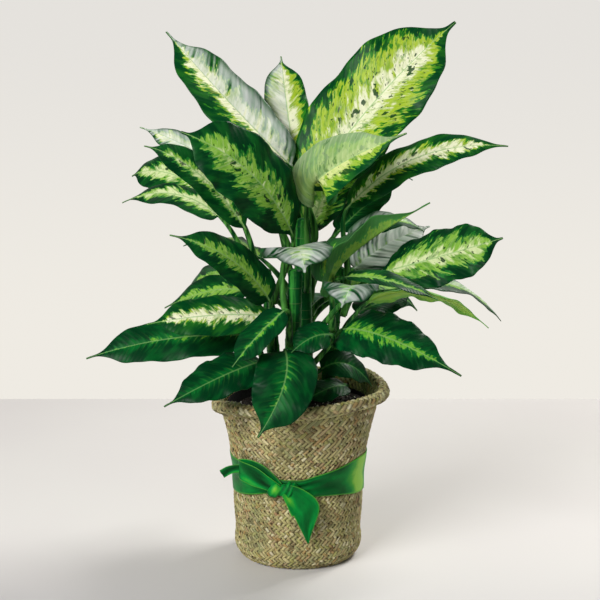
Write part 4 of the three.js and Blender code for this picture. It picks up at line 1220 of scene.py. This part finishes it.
def ribbon_strip(stops, rows, layer, ruffle, shine):
    """A length of ribbon along its stops, with soft lengthwise folds of the given height; shine gives
    how bright it is at a place across it and a length along it."""
    share = np.linspace(0, len(stops) - 1, rows)
    flat = np.array([[*place, width, *way] for place, width, way in stops], float)
    table = columns(*(along_list(list(enumerate(column)), share) for column in flat.T))
    centre, width, across_way = table[:, :3], table[:, 3:4], table[:, 4:]
    along = unit(np.gradient(centre, axis=0))
    side = unit(across_way - np.sum(across_way * along, axis=1)[:, None] * along)
    up = np.cross(side, along)
    across = np.linspace(-1, 1, STRIP_COLUMNS)
    length = length_along(centre)[:, None]
    narrowed = np.minimum(1, width / NARROW_STRIP)
    fold = ruffle * np.sin(across * 4.2 + length / 14 + layer) * narrowed
    curl = -EDGE_CURL * ruffle * across**2 * narrowed
    middle = centre[:, None, :] + moved(side, across * width / 2)
    upper, lower = (
        middle + moved(up, fold + curl + lift) for lift in (RIBBON_THICKNESS / 2, -RIBBON_THICKNESS / 2)
    )
    # Painted highlight on the crests of the folds and painted shade in their hollows
    lustre = shine(across, length) + 0.06 * fold / ruffle
    return cloth_shell(upper, lower, across, length[:, 0] + STRIP_OFFSET * layer, lustre)


def ribbon_knot():
    """The knot: ribbon drawn tight round itself, with pleats that run round it."""
    along = np.linspace(KNOT_SHAPE[0][0], KNOT_SHAPE[-1][0], KNOT_ROWS)[:, None]
    turn = math.pi - 2 * math.pi * (np.arange(KNOT_SIDES) + 0.5) / KNOT_SIDES
    folded = 0.03 + 0.06 * bell(along, 8, 10)
    pleat = 1 + folded * np.sin(along * 0.85 - 3.2 * np.sin(turn))
    radius = along_list(KNOT_SHAPE, along) * pleat
    points = np.array(KNOT_CENTRE) + columns(
        along + 1.5 * np.sin(turn),
        -KNOT_DEPTH / 2 * radius * np.cos(turn),
        KNOT_HEIGHT / 2 * radius * np.sin(turn),
    )
    # Painted highlight where the knot faces the light, and painted shade and highlight on its pleats
    facing = bell(turn, 0.15, 0.8) * bell(along, -10, 5.5)
    told = columns(np.sin(along / 12) * 0.8, turn * 12, 0.36 + 0.5 * facing + 1.6 * (pleat - 1))
    return points, tube_faces(KNOT_ROWS, KNOT_SIDES), told


def beside(turn, radius, height):
    """A place beside the basket; the turn from +X towards +Y is in degrees."""
    return polar(radius, math.radians(turn), height)


def ribbon():
    upright = (0, 0, 1)
    tail = [
        ((-14, -95, 112), 17, (0.76, 0, 0.65)), ((-3, -97, 103), 29, (0.85, 0, 0.52)),
        ((7, -97, 91), 37, (0.94, 0, 0.34)), ((9.5, -96.5, 85), 34, (0.94, 0, 0.34)),
        ((10.5, -95, 69), 21, (0.95, 0, 0.3)), ((11.5, -93, 54), 9.5, (0.95, 0, 0.3)),
        ((12.5, -92, 42), 1.5, (0.95, 0, 0.3)),
    ]
    left_tail = [
        (beside(232, 90.5, 126), 9, upright), (beside(220, 92, 128), 10, upright),
        ((-84, -56, 126), 11, (0, -0.2, 1)), ((-95, -52, 119), 11, (0.2, -0.2, 1)),
    ]
    loop = [(beside(turn, radius, height), width, upright) for turn, radius, height, width in (
        (256, 92, 114, 11), (246, 91, 123, 20), (236, 91.5, 129, 25), (226, 93, 131, 24),
        (221, 96.5, 131, 22), (226, 100, 130, 24), (236, 100.5, 127, 25), (247, 99, 120, 18),
        (256, 97, 113, 11),
    )]

    def tail_shine(across, length):
        left_glint = 0.5 * bell(across, -0.6, 0.35) * bell(length, 9, 12)
        return 0.34 + left_glint + 0.12 * bell(across, 0.9, 0.25) * bell(length, 24, 10)

    def loop_shine(across, length):
        return 0.24 + 0.14 * np.sin(length / 9 + across * 2.2) + 0.2 * bell(across, -0.8, 0.3)

    points, faces, cloth = joined([
        ribbon_band(), ribbon_knot(), ribbon_strip(tail, 60, 2, 1.2, tail_shine),
        ribbon_strip(left_tail, 40, 3, 0.4, loop_shine), ribbon_strip(loop, 90, 4, 0.5, loop_shine),
    ])
    piece = make_piece("satin_ribbon", points, faces, [ribbon_finish()], {"cloth": cloth})
    stands_for(piece, "ribbon")


# Table, lights and camera
def table():
    sides = [(side * TABLE_HALF_WIDTH, y) for y, side in (
        (TABLE_NEAR_EDGE, -1), (TABLE_NEAR_EDGE, 1), (TABLE_FAR_EDGE, 1), (TABLE_FAR_EDGE, -1),
    )]
    points = [(x, y, z) for z in (0, -TABLE_THICKNESS) for x, y in sides]
    faces = [[0, 1, 2, 3], [7, 6, 5, 4], [0, 4, 5, 1], [1, 5, 6, 2], [2, 6, 7, 3], [3, 7, 4, 0]]
    make_piece("table", points, faces, [table_finish()], smooth=False)


def wall():
    low, high = WALL_HEIGHTS
    corners = ((-1, low), (1, low), (1, high), (-1, high))
    points = [(side * WALL_HALF_WIDTH, WALL_PLACE, z) for side, z in corners]
    make_piece("wall", points, [[0, 1, 2, 3]], [wall_finish()], smooth=False)


def aim(piece, place, target):
    look = np.subtract(target, place)
    piece.location = np.multiply(place, MM)
    flat = math.hypot(look[0], look[1])
    piece.rotation_euler = (math.pi / 2 + math.atan2(look[2], flat), 0, math.atan2(-look[0], look[1]))


def soft_light(name, place, target, size, watts, colour):
    lamp = bpy.data.lights.new(name, "AREA")
    lamp.shape = "RECTANGLE"
    lamp.size, lamp.size_y = (length * MM for length in size)
    lamp.energy = watts
    lamp.color = colour
    aim(put(name, lamp), place, target)


def studio():
    scene = bpy.context.scene
    scene.world = bpy.data.worlds.new("pale_room")
    scene.world.use_nodes = True
    room = scene.world.node_tree.nodes["Background"].inputs
    room["Color"].default_value = paint(238, 234, 228)
    room["Strength"].default_value = ROOM_LIGHT
    scene.view_settings.view_transform = "Standard"
    for name, light in SOFTBOXES.items():
        soft_light(name, *light)
    lens = bpy.data.cameras.new("camera")
    lens.lens = CAMERA_LENS
    lens.sensor_width = CAMERA_SENSOR
    tilt = math.radians(CAMERA_TILT)
    back = CAMERA_DISTANCE * np.array([0, -math.cos(tilt), math.sin(tilt)])
    camera = put("camera", lens)
    aim(camera, CAMERA_AIM + back, CAMERA_AIM)
    bpy.context.scene.camera = camera


basket()
grower_pot()
potting_mix()
cane_look = cane_finish()
for cane_name in CANES:
    cane_stem(cane_name, cane_look)
leaf_looks = {kind: leaf_finish(kind, *paints) for kind, paints in LEAF_PAINTS.items()}
for leaf_number, one_leaf in enumerate(LEAVES):
    grow_leaf(one_leaf, leaf_number, leaf_looks[one_leaf.kind])
ribbon()
table()
wall()
studio()

bpy.context.view_layer.update()
